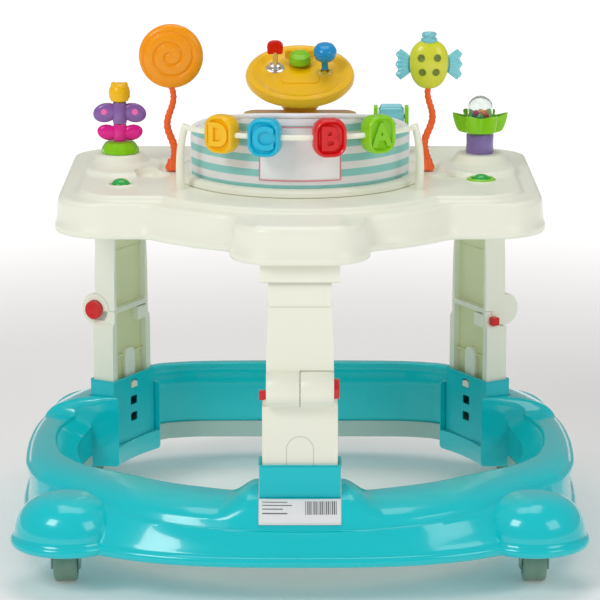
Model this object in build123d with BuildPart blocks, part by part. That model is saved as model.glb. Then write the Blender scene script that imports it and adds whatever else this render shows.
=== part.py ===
from build123d import *
from math import cos, radians, sin
import os

# A baby walker: a ring base on four swivelling casters, three folding legs that
# stand 120 degrees apart, and a lobed play tray that holds a turning seat.
# Millimetres. +Z is up, -Y is the side with the seat's back, +Y is where the
# child looks. The origin is on the floor under the middle of the base.

# base ring
base_half_x = 330.0
base_half_y = 312.0
opening_radius = 238.0
base_bottom = 49.0
base_step = 88.0
base_top = 120.0
wall = 3.0
dome_radius = 62.0
dome_top = 110.0
dome_places = {
    "front_left": (-268.0, -218.0),
    "front_right": (268.0, -218.0),
    "rear_left": (-268.0, 218.0),
    "rear_right": (268.0, 218.0),
}

# casters
wheel_radius = 21.0
wheel_width = 27.0
caster_trail = -15.0  # the wheels trail towards +Y
axle_radius = 3.0
stem_radius = 5.0
running_gap = 0.05

# legs: each leg is drawn as radius from the middle, tangent and height
leg_azimuths = {"front": -90.0, "left": 150.0, "right": 30.0}
pivot_radius = 256.0
foot_pivot_z = 92.0
knee_radius = 270.0
knee_z = 245.0
top_pivot_z = 2 * knee_z - foot_pivot_z
barrel_radius = 20.0
pin_radius = 4.0
lower_half_width = 42.0
upper_half_width = 37.5
channel_half_width = 32.5
socket_half_width = 45.4
socket_top = 158.0
link_inner = 241.5
link_end_z = 134.5
peg_heights = (104.0, 125.0, 146.0)
button_radius = 11.5

# tray and seat
tray_bottom = 388.0
tray_top = 428.0
deck_top = 434.0
mound_top = 449.0
seat_hole = 133.0
flange_radius = 146.0
hoop_radius = 158.0
rod_z = 506.0

# toys, as places on the tray
lollipop_place = (-152.0, 20.0)
fish_place = (152.0, 22.0)
butterfly_place = (-216.0, 62.0)
rattle_place = (216.0, 62.0)
roller_place = (112.0, 150.0)
left_button_place = (-208.0, -62.0)
right_button_place = (212.0, -34.0)
toy_height = 572.0
fish_height = 562.0
wheel_centre = (0.0, 202.0, 519.0)
wheel_tilt = 22.0

parts = []


# names a finished piece and keeps it for export
def finish(builder, name):
    builder.part.label = name
    parts.append(builder.part)


# ---- planes -----------------------------------------------------------------
def outward(azimuth):
    return Vector(cos(radians(azimuth)), sin(radians(azimuth)), 0)


def tangent(azimuth):
    return Vector(-sin(radians(azimuth)), cos(radians(azimuth)), 0)


# upright plane through the middle: x is the radius, y is the height,
# and its normal runs against the tangent
def side_plane(azimuth, along=0.0):
    across = tangent(azimuth)
    return Plane(origin=across * along, x_dir=outward(azimuth), z_dir=across * -1)


# upright plane that faces outward at one radius: x is the tangent, y the height
def face_plane(azimuth, radius):
    return Plane(
        origin=outward(azimuth) * radius,
        x_dir=tangent(azimuth),
        z_dir=outward(azimuth),
    )


# plane of the steering wheel: x is right, y is up the tilted face
def wheel_plane(lift=0.0, place=(0.0, 0.0)):
    tilt = radians(wheel_tilt)
    normal = Vector(0, -sin(tilt), cos(tilt))
    up_face = Vector(0, cos(tilt), sin(tilt))
    origin = Vector(*wheel_centre) + normal * lift + up_face * place[1]
    return Plane(
        origin=origin + Vector(place[0], 0, 0), x_dir=(1, 0, 0), z_dir=normal
    )


# a block between two corners in the current part
def block(low, high, mode=Mode.ADD):
    size = [high[i] - low[i] for i in range(3)]
    middle = [(high[i] + low[i]) / 2 for i in range(3)]
    with Locations(tuple(middle)):
        Box(*size, mode=mode)


# a round bar between two heights in the current part
def post(place, radius, low, high, mode=Mode.ADD):
    with Locations((place[0], place[1], (low + high) / 2)):
        Cylinder(radius, high - low, mode=mode)


# a block in a leg's own directions: radius, tangent and height spans
def leg_block(azimuth, radii, half_width, heights, mode=Mode.ADD):
    with BuildSketch(side_plane(azimuth)) as profile:
        with Locations((sum(radii) / 2, sum(heights) / 2)):
            Rectangle(radii[1] - radii[0], heights[1] - heights[0])
    extrude(profile.sketch, amount=half_width, both=True, mode=mode)


# a bar along a leg's tangent, between two places on that tangent
def leg_bar(azimuth, centre, radius, start, end, mode=Mode.ADD):
    with BuildSketch(side_plane(azimuth, end)) as profile:
        with Locations(centre):
            Circle(radius)
    extrude(profile.sketch, amount=end - start, mode=mode)


# ---- base -------------------------------------------------------------------
with BuildPart() as base_shell:
    with BuildSketch(Plane.XY.offset(base_bottom)):
        Ellipse(base_half_x, base_half_y)
    extrude(amount=base_step - base_bottom)
    with BuildSketch(Plane.XY.offset(base_step)):
        Ellipse(base_half_x - 18, base_half_y - 18)
    extrude(amount=base_top - base_step)
    chamfer(base_shell.edges().group_by(Axis.Z)[-1], 10)
    # the ring rises behind the child's feet
    with BuildSketch(Plane.XY.offset(base_top - 3)):
        Circle(268)
        with Locations((0, -150)):
            Rectangle(700, 620, mode=Mode.SUBTRACT)
    extrude(amount=21)
    chamfer(base_shell.edges().group_by(Axis.Z)[-1], 5)
    # closed hollow, as in a blown moulding
    floor = base_bottom + wall
    with BuildSketch(Plane.XY.offset(floor)):
        Ellipse(base_half_x - wall, base_half_y - wall)
        Circle(opening_radius + wall, mode=Mode.SUBTRACT)
    extrude(amount=base_step - wall - floor, mode=Mode.SUBTRACT)
    with BuildSketch(Plane.XY.offset(floor)):
        Ellipse(base_half_x - 32, base_half_y - 32)
        Circle(opening_radius + wall, mode=Mode.SUBTRACT)
    extrude(amount=base_top - wall - floor, mode=Mode.SUBTRACT)
    # caster domes, each a hollow cap with a stem tube inside
    for place in dome_places.values():
        with BuildSketch(Plane(origin=(*place, 0), x_dir=(1, 0, 0), z_dir=(0, -1, 0))):
            with BuildLine():
                Polyline((dome_radius, base_bottom), (0, base_bottom), (0, dome_top))
                ThreePointArc((0, dome_top), (44, 93), (dome_radius, base_bottom))
            make_face()
        revolve(axis=Axis((*place, 0), (0, 0, 1)))
        with BuildSketch(Plane(origin=(*place, 0), x_dir=(1, 0, 0), z_dir=(0, -1, 0))):
            with BuildLine():
                Polyline((dome_radius - wall, floor), (0, floor), (0, dome_top - wall))
                ThreePointArc((0, dome_top - wall), (42, 90.5), (dome_radius - wall, floor))
            make_face()
        revolve(axis=Axis((*place, 0), (0, 0, 1)), mode=Mode.SUBTRACT)
        post(place, 10, base_bottom, dome_top - 1)
        post(place, stem_radius + running_gap, base_bottom, 86, mode=Mode.SUBTRACT)
    # leg housings: a block in the ring with a pocket that opens inward
    for azimuth in leg_azimuths.values():
        leg_block(azimuth, (opening_radius - 2, 290), 54, (base_bottom, 130))
        leg_block(azimuth, (222, 276.5), socket_half_width + 0.6, (71, 145), mode=Mode.SUBTRACT)
    Cylinder(opening_radius - 2, 400, mode=Mode.SUBTRACT)
    for azimuth in leg_azimuths.values():
        for side in (-1, 1):
            start = side * 50 - 4.6
            leg_bar(azimuth, (pivot_radius, foot_pivot_z), pin_radius, start, start + 9.2, Mode.SUBTRACT)
finish(base_shell, "base_shell")

with BuildPart() as base_band:
    with BuildSketch(Plane.XY.offset(44)):
        Circle(opening_radius - 2)
        Circle(opening_radius - 5.5, mode=Mode.SUBTRACT)
    extrude(amount=21)
finish(base_band, "base_band")

with BuildPart() as foot_pins:
    for azimuth in leg_azimuths.values():
        leg_bar(azimuth, (pivot_radius, foot_pivot_z), pin_radius, -53, 53)
finish(foot_pins, "foot_pins")

# ---- casters ----------------------------------------------------------------
for corner, place in dome_places.items():
    hub = (place[0], place[1] - caster_trail)
    with BuildPart() as fork:
        post(place, 15, 44, 48.4)
        post(place, stem_radius, 46, 84)
        arm = wheel_width / 2 + 0.5
        for side in (-1, 1):
            x = hub[0] + side * (arm + 1.5)
            block((x - 1.5, place[1] - 4, 14), (x + 1.5, hub[1] + 8, 46))
        block((hub[0] - arm - 3, place[1] - 4, 44), (hub[0] + arm + 3, hub[1] + 8, 48.4))
        with BuildSketch(Plane.YZ.offset(hub[0] - 30)):
            with Locations((hub[1], wheel_radius)):
                Circle(axle_radius + running_gap)
        extrude(amount=60, mode=Mode.SUBTRACT)
    finish(fork, corner + "_caster_fork")

    with BuildPart() as wheel:
        with BuildSketch(Plane.YZ.offset(hub[0] - wheel_width / 2)):
            with Locations((hub[1], wheel_radius)):
                Circle(wheel_radius)
        extrude(amount=wheel_width)
        fillet(wheel.edges().filter_by(GeomType.CIRCLE), 3)
        with BuildSketch(Plane.YZ.offset(hub[0] - arm - 3)):
            with Locations((hub[1], wheel_radius)):
                Circle(axle_radius)
        extrude(amount=2 * arm + 6)
    finish(wheel, corner + "_caster_wheel")

# ---- legs -------------------------------------------------------------------
socket_outer = 273.3
socket_inner = 238.7
socket_wall = 2.6
for name, azimuth in leg_azimuths.items():
    foot = (pivot_radius, foot_pivot_z)
    knee = (knee_radius, knee_z)
    head = (pivot_radius, top_pivot_z)

    # socket: an upright tube that turns about the foot pin
    with BuildPart() as socket:
        leg_block(azimuth, (socket_inner, socket_outer), socket_half_width, (foot_pivot_z, socket_top))
        leg_bar(azimuth, foot, 17.3, -socket_half_width, socket_half_width)
        for side in (-1, 1):
            with BuildSketch(side_plane(azimuth, side * (socket_half_width - 1.3))):
                with Locations((pivot_radius, socket_top + 4)):
                    Rectangle(22, 12)
            extrude(amount=1.3, both=True)
        inside = socket_half_width - socket_wall
        cavity = (socket_inner + socket_wall, socket_outer - socket_wall)
        leg_block(azimuth, cavity, inside, (foot_pivot_z, socket_top + 20), mode=Mode.SUBTRACT)
        leg_bar(azimuth, foot, 14.7, -inside, inside, mode=Mode.SUBTRACT)
        leg_bar(azimuth, foot, pin_radius + running_gap, -60, 60, mode=Mode.SUBTRACT)
        with BuildSketch(face_plane(azimuth, socket_inner - 1)):
            for height in peg_heights:
                with Locations((0, height)):
                    Circle(5.4)
        extrude(amount=socket_wall + 2, mode=Mode.SUBTRACT)
    finish(socket, name + "_socket")

    # lower link: a channel that opens inward and slides in the socket
    with BuildPart() as lower_link:
        leg_block(azimuth, (link_inner, knee_radius), lower_half_width, (link_end_z, 222))
        leg_block(azimuth, (link_inner, knee_radius), upper_half_width, (221, knee_z - 0.3))
        hollow = (link_inner - 1, knee_radius - wall)
        leg_block(azimuth, hollow, channel_half_width, (link_end_z - 1, 236), mode=Mode.SUBTRACT)
        pin_slot = (pivot_radius - 5, pivot_radius + 5)
        leg_block(azimuth, pin_slot, 60, (link_end_z - 1, 140), mode=Mode.SUBTRACT)
        # snap block with a blind bore for the height peg
        leg_block(azimuth, (250, 268), 14, (139, 165))
        with BuildSketch(face_plane(azimuth, 248)):
            with Locations((0, peg_heights[-1])):
                Circle(4.8 + running_gap)
        extrude(amount=14, mode=Mode.SUBTRACT)
        leg_bar(azimuth, knee, barrel_radius + 0.7, -60, 0, mode=Mode.SUBTRACT)
        leg_bar(azimuth, knee, barrel_radius, 0.3, upper_half_width)
        leg_bar(azimuth, knee, 5 + running_gap, -1, 60, mode=Mode.SUBTRACT)
        with BuildSketch(side_plane(azimuth, -channel_half_width + 1)):
            with Locations((247, 229)):
                Rectangle(9.6, 9.6)
        extrude(amount=10, mode=Mode.SUBTRACT)
    finish(lower_link, name + "_lower_link")

    with BuildPart() as height_peg:
        with BuildSketch(face_plane(azimuth, 241.7)):
            with Locations((0, peg_heights[-1])):
                Circle(4.8)
        extrude(amount=16.3)
    finish(height_peg, name + "_height_peg")

    # upper link: the same channel, its round head turns in the tray's collar
    with BuildPart() as upper_link:
        leg_block(azimuth, (link_inner, knee_radius), upper_half_width, (knee_z + 0.3, top_pivot_z))
        leg_bar(azimuth, head, 14, -upper_half_width, upper_half_width)
        leg_block(azimuth, hollow, channel_half_width, (254, 384), mode=Mode.SUBTRACT)
        leg_bar(azimuth, knee, barrel_radius + 0.7, 0, 60, mode=Mode.SUBTRACT)
        leg_bar(azimuth, knee, barrel_radius, -upper_half_width, -0.3)
        leg_bar(azimuth, knee, 5 + running_gap, -upper_half_width + 1, 1, mode=Mode.SUBTRACT)
        leg_bar(azimuth, head, pin_radius + running_gap, -60, 60, mode=Mode.SUBTRACT)
    finish(upper_link, name + "_upper_link")

    # release button, whose shaft is the knee's hinge pin
    with BuildPart() as knee_button:
        leg_bar(azimuth, knee, 5, -upper_half_width + 7, upper_half_width + 5)
        leg_bar(azimuth, knee, button_radius, upper_half_width + 4.5, upper_half_width + 8)
    finish(knee_button, name + "_knee_button")

    with BuildPart() as fold_latch:
        with BuildSketch(side_plane(azimuth, -channel_half_width + 1)):
            with Locations((247, 229)):
                Rectangle(9, 9)
        extrude(amount=13)
    finish(fold_latch, name + "_fold_latch")

# ---- tray -------------------------------------------------------------------
# outline of the tray: a disc with two wide side lobes and a narrow front lobe
def tray_outline(shrink):
    Circle(230 - shrink)
    with Locations((0, 32)):
        RectangleRounded(2 * (283 - shrink), 2 * (184 - shrink), 62 - shrink)
    with Locations((0, -200)):
        RectangleRounded(2 * (78 - shrink), 2 * (88 - shrink), 50 - shrink)


with BuildPart() as tray_shell:
    with BuildSketch(Plane.XY.offset(tray_bottom)):
        tray_outline(0)
    extrude(amount=tray_top - tray_bottom)
    chamfer(tray_shell.edges().group_by(Axis.Z)[-1], 6)
    with BuildSketch(Plane.XY.offset(tray_top - 1)):
        Circle(205)
        with Locations((0, 30)):
            RectangleRounded(2 * 256, 2 * 162, 55)
    extrude(amount=deck_top - tray_top + 1)
    chamfer(tray_shell.edges().group_by(Axis.Z)[-1], 5)
    # hollow underneath, with a wall round the seat
    with BuildSketch(Plane.XY.offset(tray_bottom)):
        tray_outline(4)
        Circle(seat_hole + 4, mode=Mode.SUBTRACT)
    extrude(amount=tray_top - 5 - tray_bottom, mode=Mode.SUBTRACT)
    # three collars, channels that hold the heads of the legs
    for azimuth in leg_azimuths.values():
        leg_block(azimuth, (236, 276), 44, (366, tray_top - 4))
        leg_block(azimuth, (235, 272.5), upper_half_width + 0.8, (365, tray_top - 5), mode=Mode.SUBTRACT)
        leg_bar(azimuth, (pivot_radius, top_pivot_z), pin_radius, -60, 60, mode=Mode.SUBTRACT)
    for place in (butterfly_place, rattle_place):
        post(place, 33, deck_top - 2, mound_top)
    Cylinder(seat_hole, 1200, mode=Mode.SUBTRACT)
    # bowls and the recesses of the two push buttons
    for place, radius in (((-174, -4), 15), ((168, -12), 12)):
        with Locations((*place, deck_top + 6)):
            Sphere(radius, mode=Mode.SUBTRACT)
    for place in (left_button_place, right_button_place):
        post(place, 11.4, deck_top - 8, deck_top + 1, mode=Mode.SUBTRACT)
finish(tray_shell, "tray_shell")

# head pins: the front one carries its link, and the two others are short stubs
# in the collars, which leave their links free at the opened pivots
with BuildPart() as head_pins:
    leg_bar(-90, (pivot_radius, top_pivot_z), pin_radius, -44, 44)
    for azimuth in (leg_azimuths["left"], leg_azimuths["right"]):
        leg_bar(azimuth, (pivot_radius, top_pivot_z), pin_radius, -44, -38.3)
        leg_bar(azimuth, (pivot_radius, top_pivot_z), pin_radius, 38.3, 44)
finish(head_pins, "head_pins")

# ---- seat -------------------------------------------------------------------
with BuildPart() as seat_ring:
    with BuildSketch(Plane.XY.offset(deck_top + 0.4)):
        Circle(flange_radius)
        Circle(126, mode=Mode.SUBTRACT)
    extrude(amount=8)
    chamfer(seat_ring.edges().group_by(Axis.Z)[-1], 2)
    with BuildSketch(Plane.XY.offset(404)):
        Circle(seat_hole - 0.6)
        Circle(126, mode=Mode.SUBTRACT)
    extrude(amount=deck_top - 403)
finish(seat_ring, "seat_ring")

back_bottom = deck_top + 8.4
with BuildPart() as backrest:
    with BuildSketch(Plane.XY.offset(back_bottom)):
        Circle(132.2)
        Circle(127.5, mode=Mode.SUBTRACT)
        with Locations((0, 105)):
            Rectangle(300, 270, mode=Mode.SUBTRACT)
    extrude(amount=530 - back_bottom)
finish(backrest, "backrest")

# seat sling: a hanging bowl of cloth with two leg holes
with BuildPart() as seat_sling:
    with BuildSketch(Plane.XZ):
        with BuildLine():
            Polyline((0, 352), (84, 352), (125.6, 405), (125.6, 440), (120.6, 440),
                     (120.6, 407), (81, 357), (0, 357), (0, 352))
        make_face()
    revolve(axis=Axis.Z)
    for side in (-1, 1):
        with BuildSketch(Plane.XY.offset(340)):
            with Locations((side * 52, 42)):
                Circle(33)
        extrude(amount=60, mode=Mode.SUBTRACT)
finish(seat_sling, "seat_sling")

# ---- bead hoop --------------------------------------------------------------
hoop_end = 34.0
foot_x = hoop_radius * cos(radians(hoop_end))
foot_y = -hoop_radius * sin(radians(hoop_end))
with BuildPart() as bead_hoop:
    with BuildLine() as rod_path:
        CenterArc((0, 0, rod_z), hoop_radius, 180 + hoop_end, 180 - 2 * hoop_end)
    with BuildSketch(Plane(origin=rod_path.line @ 0, z_dir=rod_path.line % 0)):
        Circle(3.2)
    sweep()
    for side in (-1, 1):
        post((side * foot_x, foot_y), 5.5, deck_top + 7, rod_z + 9)
        post((side * foot_x, foot_y), 9, deck_top, deck_top + 8)
finish(bead_hoop, "bead_hoop")

bead_angles = {"bead_d": 236.0, "bead_c": 255.5, "bead_b": 282.0, "bead_a": 304.0}
for name, azimuth in bead_angles.items():
    with BuildPart() as bead:
        with BuildSketch(face_plane(azimuth, hoop_radius - 10)):
            with Locations((0, rod_z)):
                RectangleRounded(38, 44, 15)
        extrude(amount=20)
        leg_bar(azimuth, (hoop_radius - 1.1, rod_z), 5.2, -30, 30, mode=Mode.SUBTRACT)
    finish(bead, name)

# ---- lollipop and fish on springy stalks ------------------------------------
stalk_pivot = deck_top + 6.4


# a springy stalk that turns in a small barrel on the deck
def stalk(place):
    with BuildPart() as made:
        post(place, 4.5, stalk_pivot, 541)
        with BuildSketch(Plane.XZ.offset(-place[1] - 6)):
            with Locations((place[0], stalk_pivot)):
                Circle(6)
        extrude(amount=12)
    return made


finish(stalk(lollipop_place), "lollipop_stalk")

with BuildPart() as lollipop_disc:
    with BuildSketch(Plane.XZ.offset(-lollipop_place[1] - 9)):
        with Locations((lollipop_place[0], toy_height)):
            Circle(38)
    extrude(amount=18)
    fillet(lollipop_disc.edges().filter_by(GeomType.CIRCLE), 5)
    post(lollipop_place, 4.5, 500, 541, mode=Mode.SUBTRACT)
finish(lollipop_disc, "lollipop_disc")

finish(stalk(fish_place), "fish_stalk")

with BuildPart() as fish_body:
    with BuildSketch(Plane.XZ.offset(-fish_place[1] - 13)):
        with Locations((fish_place[0], fish_height)):
            Ellipse(24, 29)
    extrude(amount=26)
    post(fish_place, 4.5, 500, 541, mode=Mode.SUBTRACT)
finish(fish_body, "fish_body")

# lips on top and a fin on each side
with BuildPart() as fish_fins:
    post(fish_place, 9, fish_height + 26, fish_height + 40)
    for side in (-1, 1):
        with BuildSketch(Plane.XZ.offset(-fish_place[1] - 3)):
            with Locations((fish_place[0] + side * 33, fish_height)):
                Ellipse(12, 19)
        extrude(amount=6)
    with BuildSketch(Plane.XZ.offset(-fish_place[1] - 13)):
        with Locations((fish_place[0], fish_height)):
            Ellipse(24, 29)
    extrude(amount=26, mode=Mode.SUBTRACT)
finish(fish_fins, "fish_fins")

# ---- butterfly ----------------------------------------------------------------
with BuildPart() as butterfly_base:
    with BuildSketch(Plane.XY.offset(mound_top)):
        with Locations(butterfly_place):
            RegularPolygon(23, 10)
    extrude(amount=13, taper=14)
    post(butterfly_place, 3.5, mound_top + 12, 512)
finish(butterfly_base, "butterfly_base")

# a pair of wings that spins on the base's post
def wings(name, low, high, reach, thick, body_radius):
    with BuildPart() as pair:
        with BuildSketch(Plane.XZ.offset(-butterfly_place[1] - thick / 2)):
            for side in (-1, 1):
                with Locations((butterfly_place[0] + side * reach / 2, (low + high) / 2)):
                    Ellipse(reach / 2, (high - low) / 2)
        extrude(amount=thick)
        post(butterfly_place, body_radius, low, high)
        post(butterfly_place, 3.5 + running_gap, low - 1, min(high + 1, 513), mode=Mode.SUBTRACT)
    return pair


finish(wings("butterfly_lower_wings", 463, 484, 27, 8, 8), "butterfly_lower_wings")
finish(wings("butterfly_upper_wings", 484.6, 510, 32, 8, 9), "butterfly_upper_wings")

with BuildPart() as butterfly_head:
    post(butterfly_place, 13, 510.4, 534)
    fillet(butterfly_head.edges().group_by(Axis.Z)[-1], 6)
    post(butterfly_place, 3.5, 500, 512, mode=Mode.SUBTRACT)
finish(butterfly_head, "butterfly_head")

# ---- rattle: drum, crown and a clear dome -------------------------------------
with BuildPart() as rattle_drum:
    post(rattle_place, 17, mound_top, 473)
    post(rattle_place, 4, 472, 484)
finish(rattle_drum, "rattle_drum")

with BuildPart() as rattle_crown:
    post(rattle_place, 24, 473.5, 492)
    with BuildSketch(Plane.XY.offset(478)):
        with Locations(rattle_place):
            with PolarLocations(23, 6):
                Circle(10)
    extrude(amount=11)
    post(rattle_place, 4 + running_gap, 470, 484.5, mode=Mode.SUBTRACT)
finish(rattle_crown, "rattle_crown")

with BuildPart() as rattle_dome:
    with Locations((*rattle_place, 492 + 5)):
        Sphere(17)
    x, y = rattle_place
    block((x - 30, y - 30, 470), (x + 30, y + 30, 492), Mode.SUBTRACT)
finish(rattle_dome, "rattle_dome")

# ---- steering toy ---------------------------------------------------------------
with BuildPart() as console:
    with BuildSketch(Plane.XY.offset(deck_top)):
        with Locations((0, 190)):
            RectangleRounded(2 * 76, 40, 14)
    extrude(amount=42, taper=8)
    with BuildSketch(wheel_plane(-36)):
        Circle(24)
    extrude(amount=26)
    with BuildSketch(wheel_plane(-30)):
        Circle(7)
    extrude(amount=30)
finish(console, "console")

with BuildPart() as steering_wheel:
    with BuildSketch(wheel_plane(-9)):
        Circle(68)
    extrude(amount=18)
    fillet(steering_wheel.edges().filter_by(GeomType.CIRCLE), 7)
    # slot behind the horn, seat of the horn and bore of the column
    with BuildSketch(wheel_plane(-10, (0, 46))):
        RectangleRounded(38, 14, 5)
    extrude(amount=30, mode=Mode.SUBTRACT)
    with BuildSketch(wheel_plane(3, (0, 26))):
        Circle(14.5)
    extrude(amount=20, mode=Mode.SUBTRACT)
    with BuildSketch(wheel_plane(-20)):
        Circle(7 + running_gap)
    extrude(amount=20.5, mode=Mode.SUBTRACT)
    with BuildSketch(wheel_plane(4, (-31, 17))):
        Circle(3 + running_gap)
    extrude(amount=20, mode=Mode.SUBTRACT)
    with BuildSketch(wheel_plane(2, (31, 6))):
        Circle(7)
    extrude(amount=20, mode=Mode.SUBTRACT)
finish(steering_wheel, "steering_wheel")

with BuildPart() as horn_button:
    with BuildSketch(wheel_plane(6.5, (0, 26))):
        Circle(14)
    extrude(amount=12)
    fillet(horn_button.faces().sort_by(Axis.Z)[-1].edges(), 6)
finish(horn_button, "horn_button")

with BuildPart() as ignition_key:
    with BuildSketch(wheel_plane(4.4, (-31, 17))):
        Circle(3)
    extrude(amount=32)
    with BuildSketch(wheel_plane(9.4, (-31, 17))):
        Circle(8)
    extrude(amount=3)
    with BuildSketch(wheel_plane(24, (-31, 17))):
        Rectangle(16, 5)
    extrude(amount=18)
finish(ignition_key, "ignition_key")

hub_plane = wheel_plane(7.6, (31, 6))
with BuildPart() as shift_knob:
    with BuildSketch(wheel_plane(20, (31, 6))):
        Circle(15)
    extrude(amount=22)
    chamfer(shift_knob.edges().filter_by(GeomType.CIRCLE).sort_by(Axis.Z)[-1], 6)
    # stem, on a small barrel that rocks in the wheel
    with BuildSketch(wheel_plane(9, (31, 6))):
        Circle(4)
    extrude(amount=11.5)
    with BuildSketch(Plane.YZ.offset(26.5)):
        with Locations((hub_plane.origin.Y, hub_plane.origin.Z)):
            Circle(4.8)
    extrude(amount=9)
finish(shift_knob, "shift_knob")

# ---- push buttons and roller ------------------------------------------------------
for name, place in (("left_push_button", left_button_place), ("right_push_button", right_button_place)):
    with BuildPart() as push_button:
        post(place, 11, deck_top - 4, deck_top + 7)
        fillet(push_button.edges().group_by(Axis.Z)[-1], 6)
    finish(push_button, name)

x, y = roller_place
with BuildPart() as roller_frame:
    for side in (-1, 1):
        block((x + side * 19 - 2.5, y - 10, deck_top), (x + side * 19 + 2.5, y + 10, 492))
    block((x - 21.5, y - 10, deck_top), (x + 21.5, y + 10, deck_top + 6))
    with BuildSketch(Plane.YZ.offset(x - 30)):
        with Locations((y, 478)):
            Circle(3 + running_gap)
    extrude(amount=60, mode=Mode.SUBTRACT)
finish(roller_frame, "roller_frame")

with BuildPart() as roller_drum:
    with BuildSketch(Plane.YZ.offset(x - 16)):
        with Locations((y, 478)):
            Circle(16)
    extrude(amount=32)
    with BuildSketch(Plane.YZ.offset(x - 21)):
        with Locations((y, 478)):
            Circle(3)
    extrude(amount=42)
finish(roller_drum, "roller_drum")

os.makedirs("parts", exist_ok=True)
for part in parts:
    export_step(part, "parts/" + part.label + ".step")
print(len(parts), "pieces written")
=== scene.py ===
import bmesh
import bpy
import numpy as np
from math import cos, pi, radians, sin
from mathutils import Matrix, Vector


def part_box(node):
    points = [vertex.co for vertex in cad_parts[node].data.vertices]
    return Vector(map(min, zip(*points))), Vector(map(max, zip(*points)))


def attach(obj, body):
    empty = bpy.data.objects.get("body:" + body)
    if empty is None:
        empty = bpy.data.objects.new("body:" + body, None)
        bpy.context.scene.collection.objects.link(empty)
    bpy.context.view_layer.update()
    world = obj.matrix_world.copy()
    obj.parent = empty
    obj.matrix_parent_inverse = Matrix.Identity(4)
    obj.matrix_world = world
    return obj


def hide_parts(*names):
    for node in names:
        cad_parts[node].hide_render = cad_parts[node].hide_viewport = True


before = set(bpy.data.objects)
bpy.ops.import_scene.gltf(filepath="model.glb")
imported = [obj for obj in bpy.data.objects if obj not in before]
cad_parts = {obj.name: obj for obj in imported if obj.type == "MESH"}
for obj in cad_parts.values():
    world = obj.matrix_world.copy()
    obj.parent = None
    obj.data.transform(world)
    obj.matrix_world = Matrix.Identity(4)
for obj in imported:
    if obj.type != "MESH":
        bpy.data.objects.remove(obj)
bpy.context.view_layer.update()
mm = 0.001


# places from the frame, in millimetres
def boxOf(node):
    low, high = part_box(node)
    return np.array(low) / mm, np.array(high) / mm


def middleOf(node):
    low, high = boxOf(node)
    return (low + high) / 2


legTurns = {"front": -90.0, "left": 150.0, "right": 30.0}
corners = ("front_left", "front_right", "rear_left", "rear_right")


# leg directions: x runs outward, y along the tangent, z up
# point = outward * radius + tangent * t + up * z
def legPoints(turn, radius, t, z):
    c, s = cos(radians(turn)), sin(radians(turn))
    radius, t, z = np.broadcast_arrays(radius, t, z)
    return np.stack([c * radius - s * t, s * radius + c * t, z], -1).astype(float)


# every pair of two rows of values, as two grids
def pairs(u, v):
    return np.meshgrid(u, v, indexing="ij")


# evenly spaced angles of one turn, the last one left out
def fullTurn(steps):
    return np.linspace(0, 2 * pi, steps, endpoint=False)


# points at distance r and azimuth a around the middle, at height z
def polar(r, a, z):
    return np.stack([r * np.cos(a), r * np.sin(a), z], -1)


# faces of a grid of points: (i, j), (i+1, j), (i+1, j+1), (i, j+1)
def gridFaces(rows, columns, wrapRows, wrapColumns):
    i = np.arange(rows if wrapRows else rows - 1)
    j = np.arange(columns if wrapColumns else columns - 1)
    i, j = pairs(i, j)
    nextI, nextJ = (i + 1) % rows, (j + 1) % columns
    quads = [i * columns + j, nextI * columns + j, nextI * columns + nextJ, i * columns + nextJ]
    return np.stack(quads, -1).reshape(-1, 4)


# puts whole arrays into a mesh; parts is a list of (points, faces)
def meshObject(name, parts, flat=False, sharp=38, turnOut=True):
    points, faces, start = [], [], 0
    for part in parts:
        p = np.asarray(part[0], float).reshape(-1, 3)
        points.append(p)
        faces += [[int(k) + start for k in face] for face in part[1]]
        start += len(p)
    points = np.concatenate(points) * mm
    mesh = bpy.data.meshes.new(name)
    mesh.from_pydata(points.tolist(), [], faces)
    mesh.uv_layers.new(name="UVMap")
    work = bmesh.new()
    work.from_mesh(mesh)
    bmesh.ops.remove_doubles(work, verts=work.verts, dist=2e-6)
    bmesh.ops.dissolve_degenerate(work, edges=work.edges, dist=1e-7)
    if turnOut:
        bmesh.ops.recalc_face_normals(work, faces=work.faces)
    work.to_mesh(mesh)
    work.free()
    mesh.polygons.foreach_set("use_smooth", np.full(len(mesh.polygons), not flat))
    if not flat:
        mesh.set_sharp_from_angle(angle=radians(sharp))
    thing = bpy.data.objects.new(name, mesh)
    bpy.context.collection.objects.link(thing)
    return thing


# a grid of points as one part for meshObject
def gridPart(points, wrapRows=False, wrapColumns=False, caps=()):
    rows, columns = points.shape[:2]
    faces = gridFaces(rows, columns, wrapRows, wrapColumns).tolist()
    for row in caps:
        faces.append([row % rows * columns + j for j in range(columns)])
    return points, faces


# surface of revolution: point = centre + (r cos a, r sin a, z)
def revolved(profile, centre=(0, 0, 0), steps=48, basis=None):
    profile = np.asarray(profile, float)
    angle = fullTurn(steps)
    r, z = profile[:, 0][:, None], profile[:, 1][:, None]
    points = polar(r, angle, z + 0 * angle)
    if basis is not None:
        points = points @ np.asarray(basis, float)
    return gridPart(points + np.asarray(centre, float), False, True)


# rows of the basis are where the local x, y and z axes go
def basisAlong(axis, side=(0, 0, 1)):
    z = np.asarray(axis, float) / np.linalg.norm(axis)
    x = np.asarray(side, float) - np.dot(side, z) * z
    x = x / np.linalg.norm(x)
    return np.array([x, np.cross(z, x), z])


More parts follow.
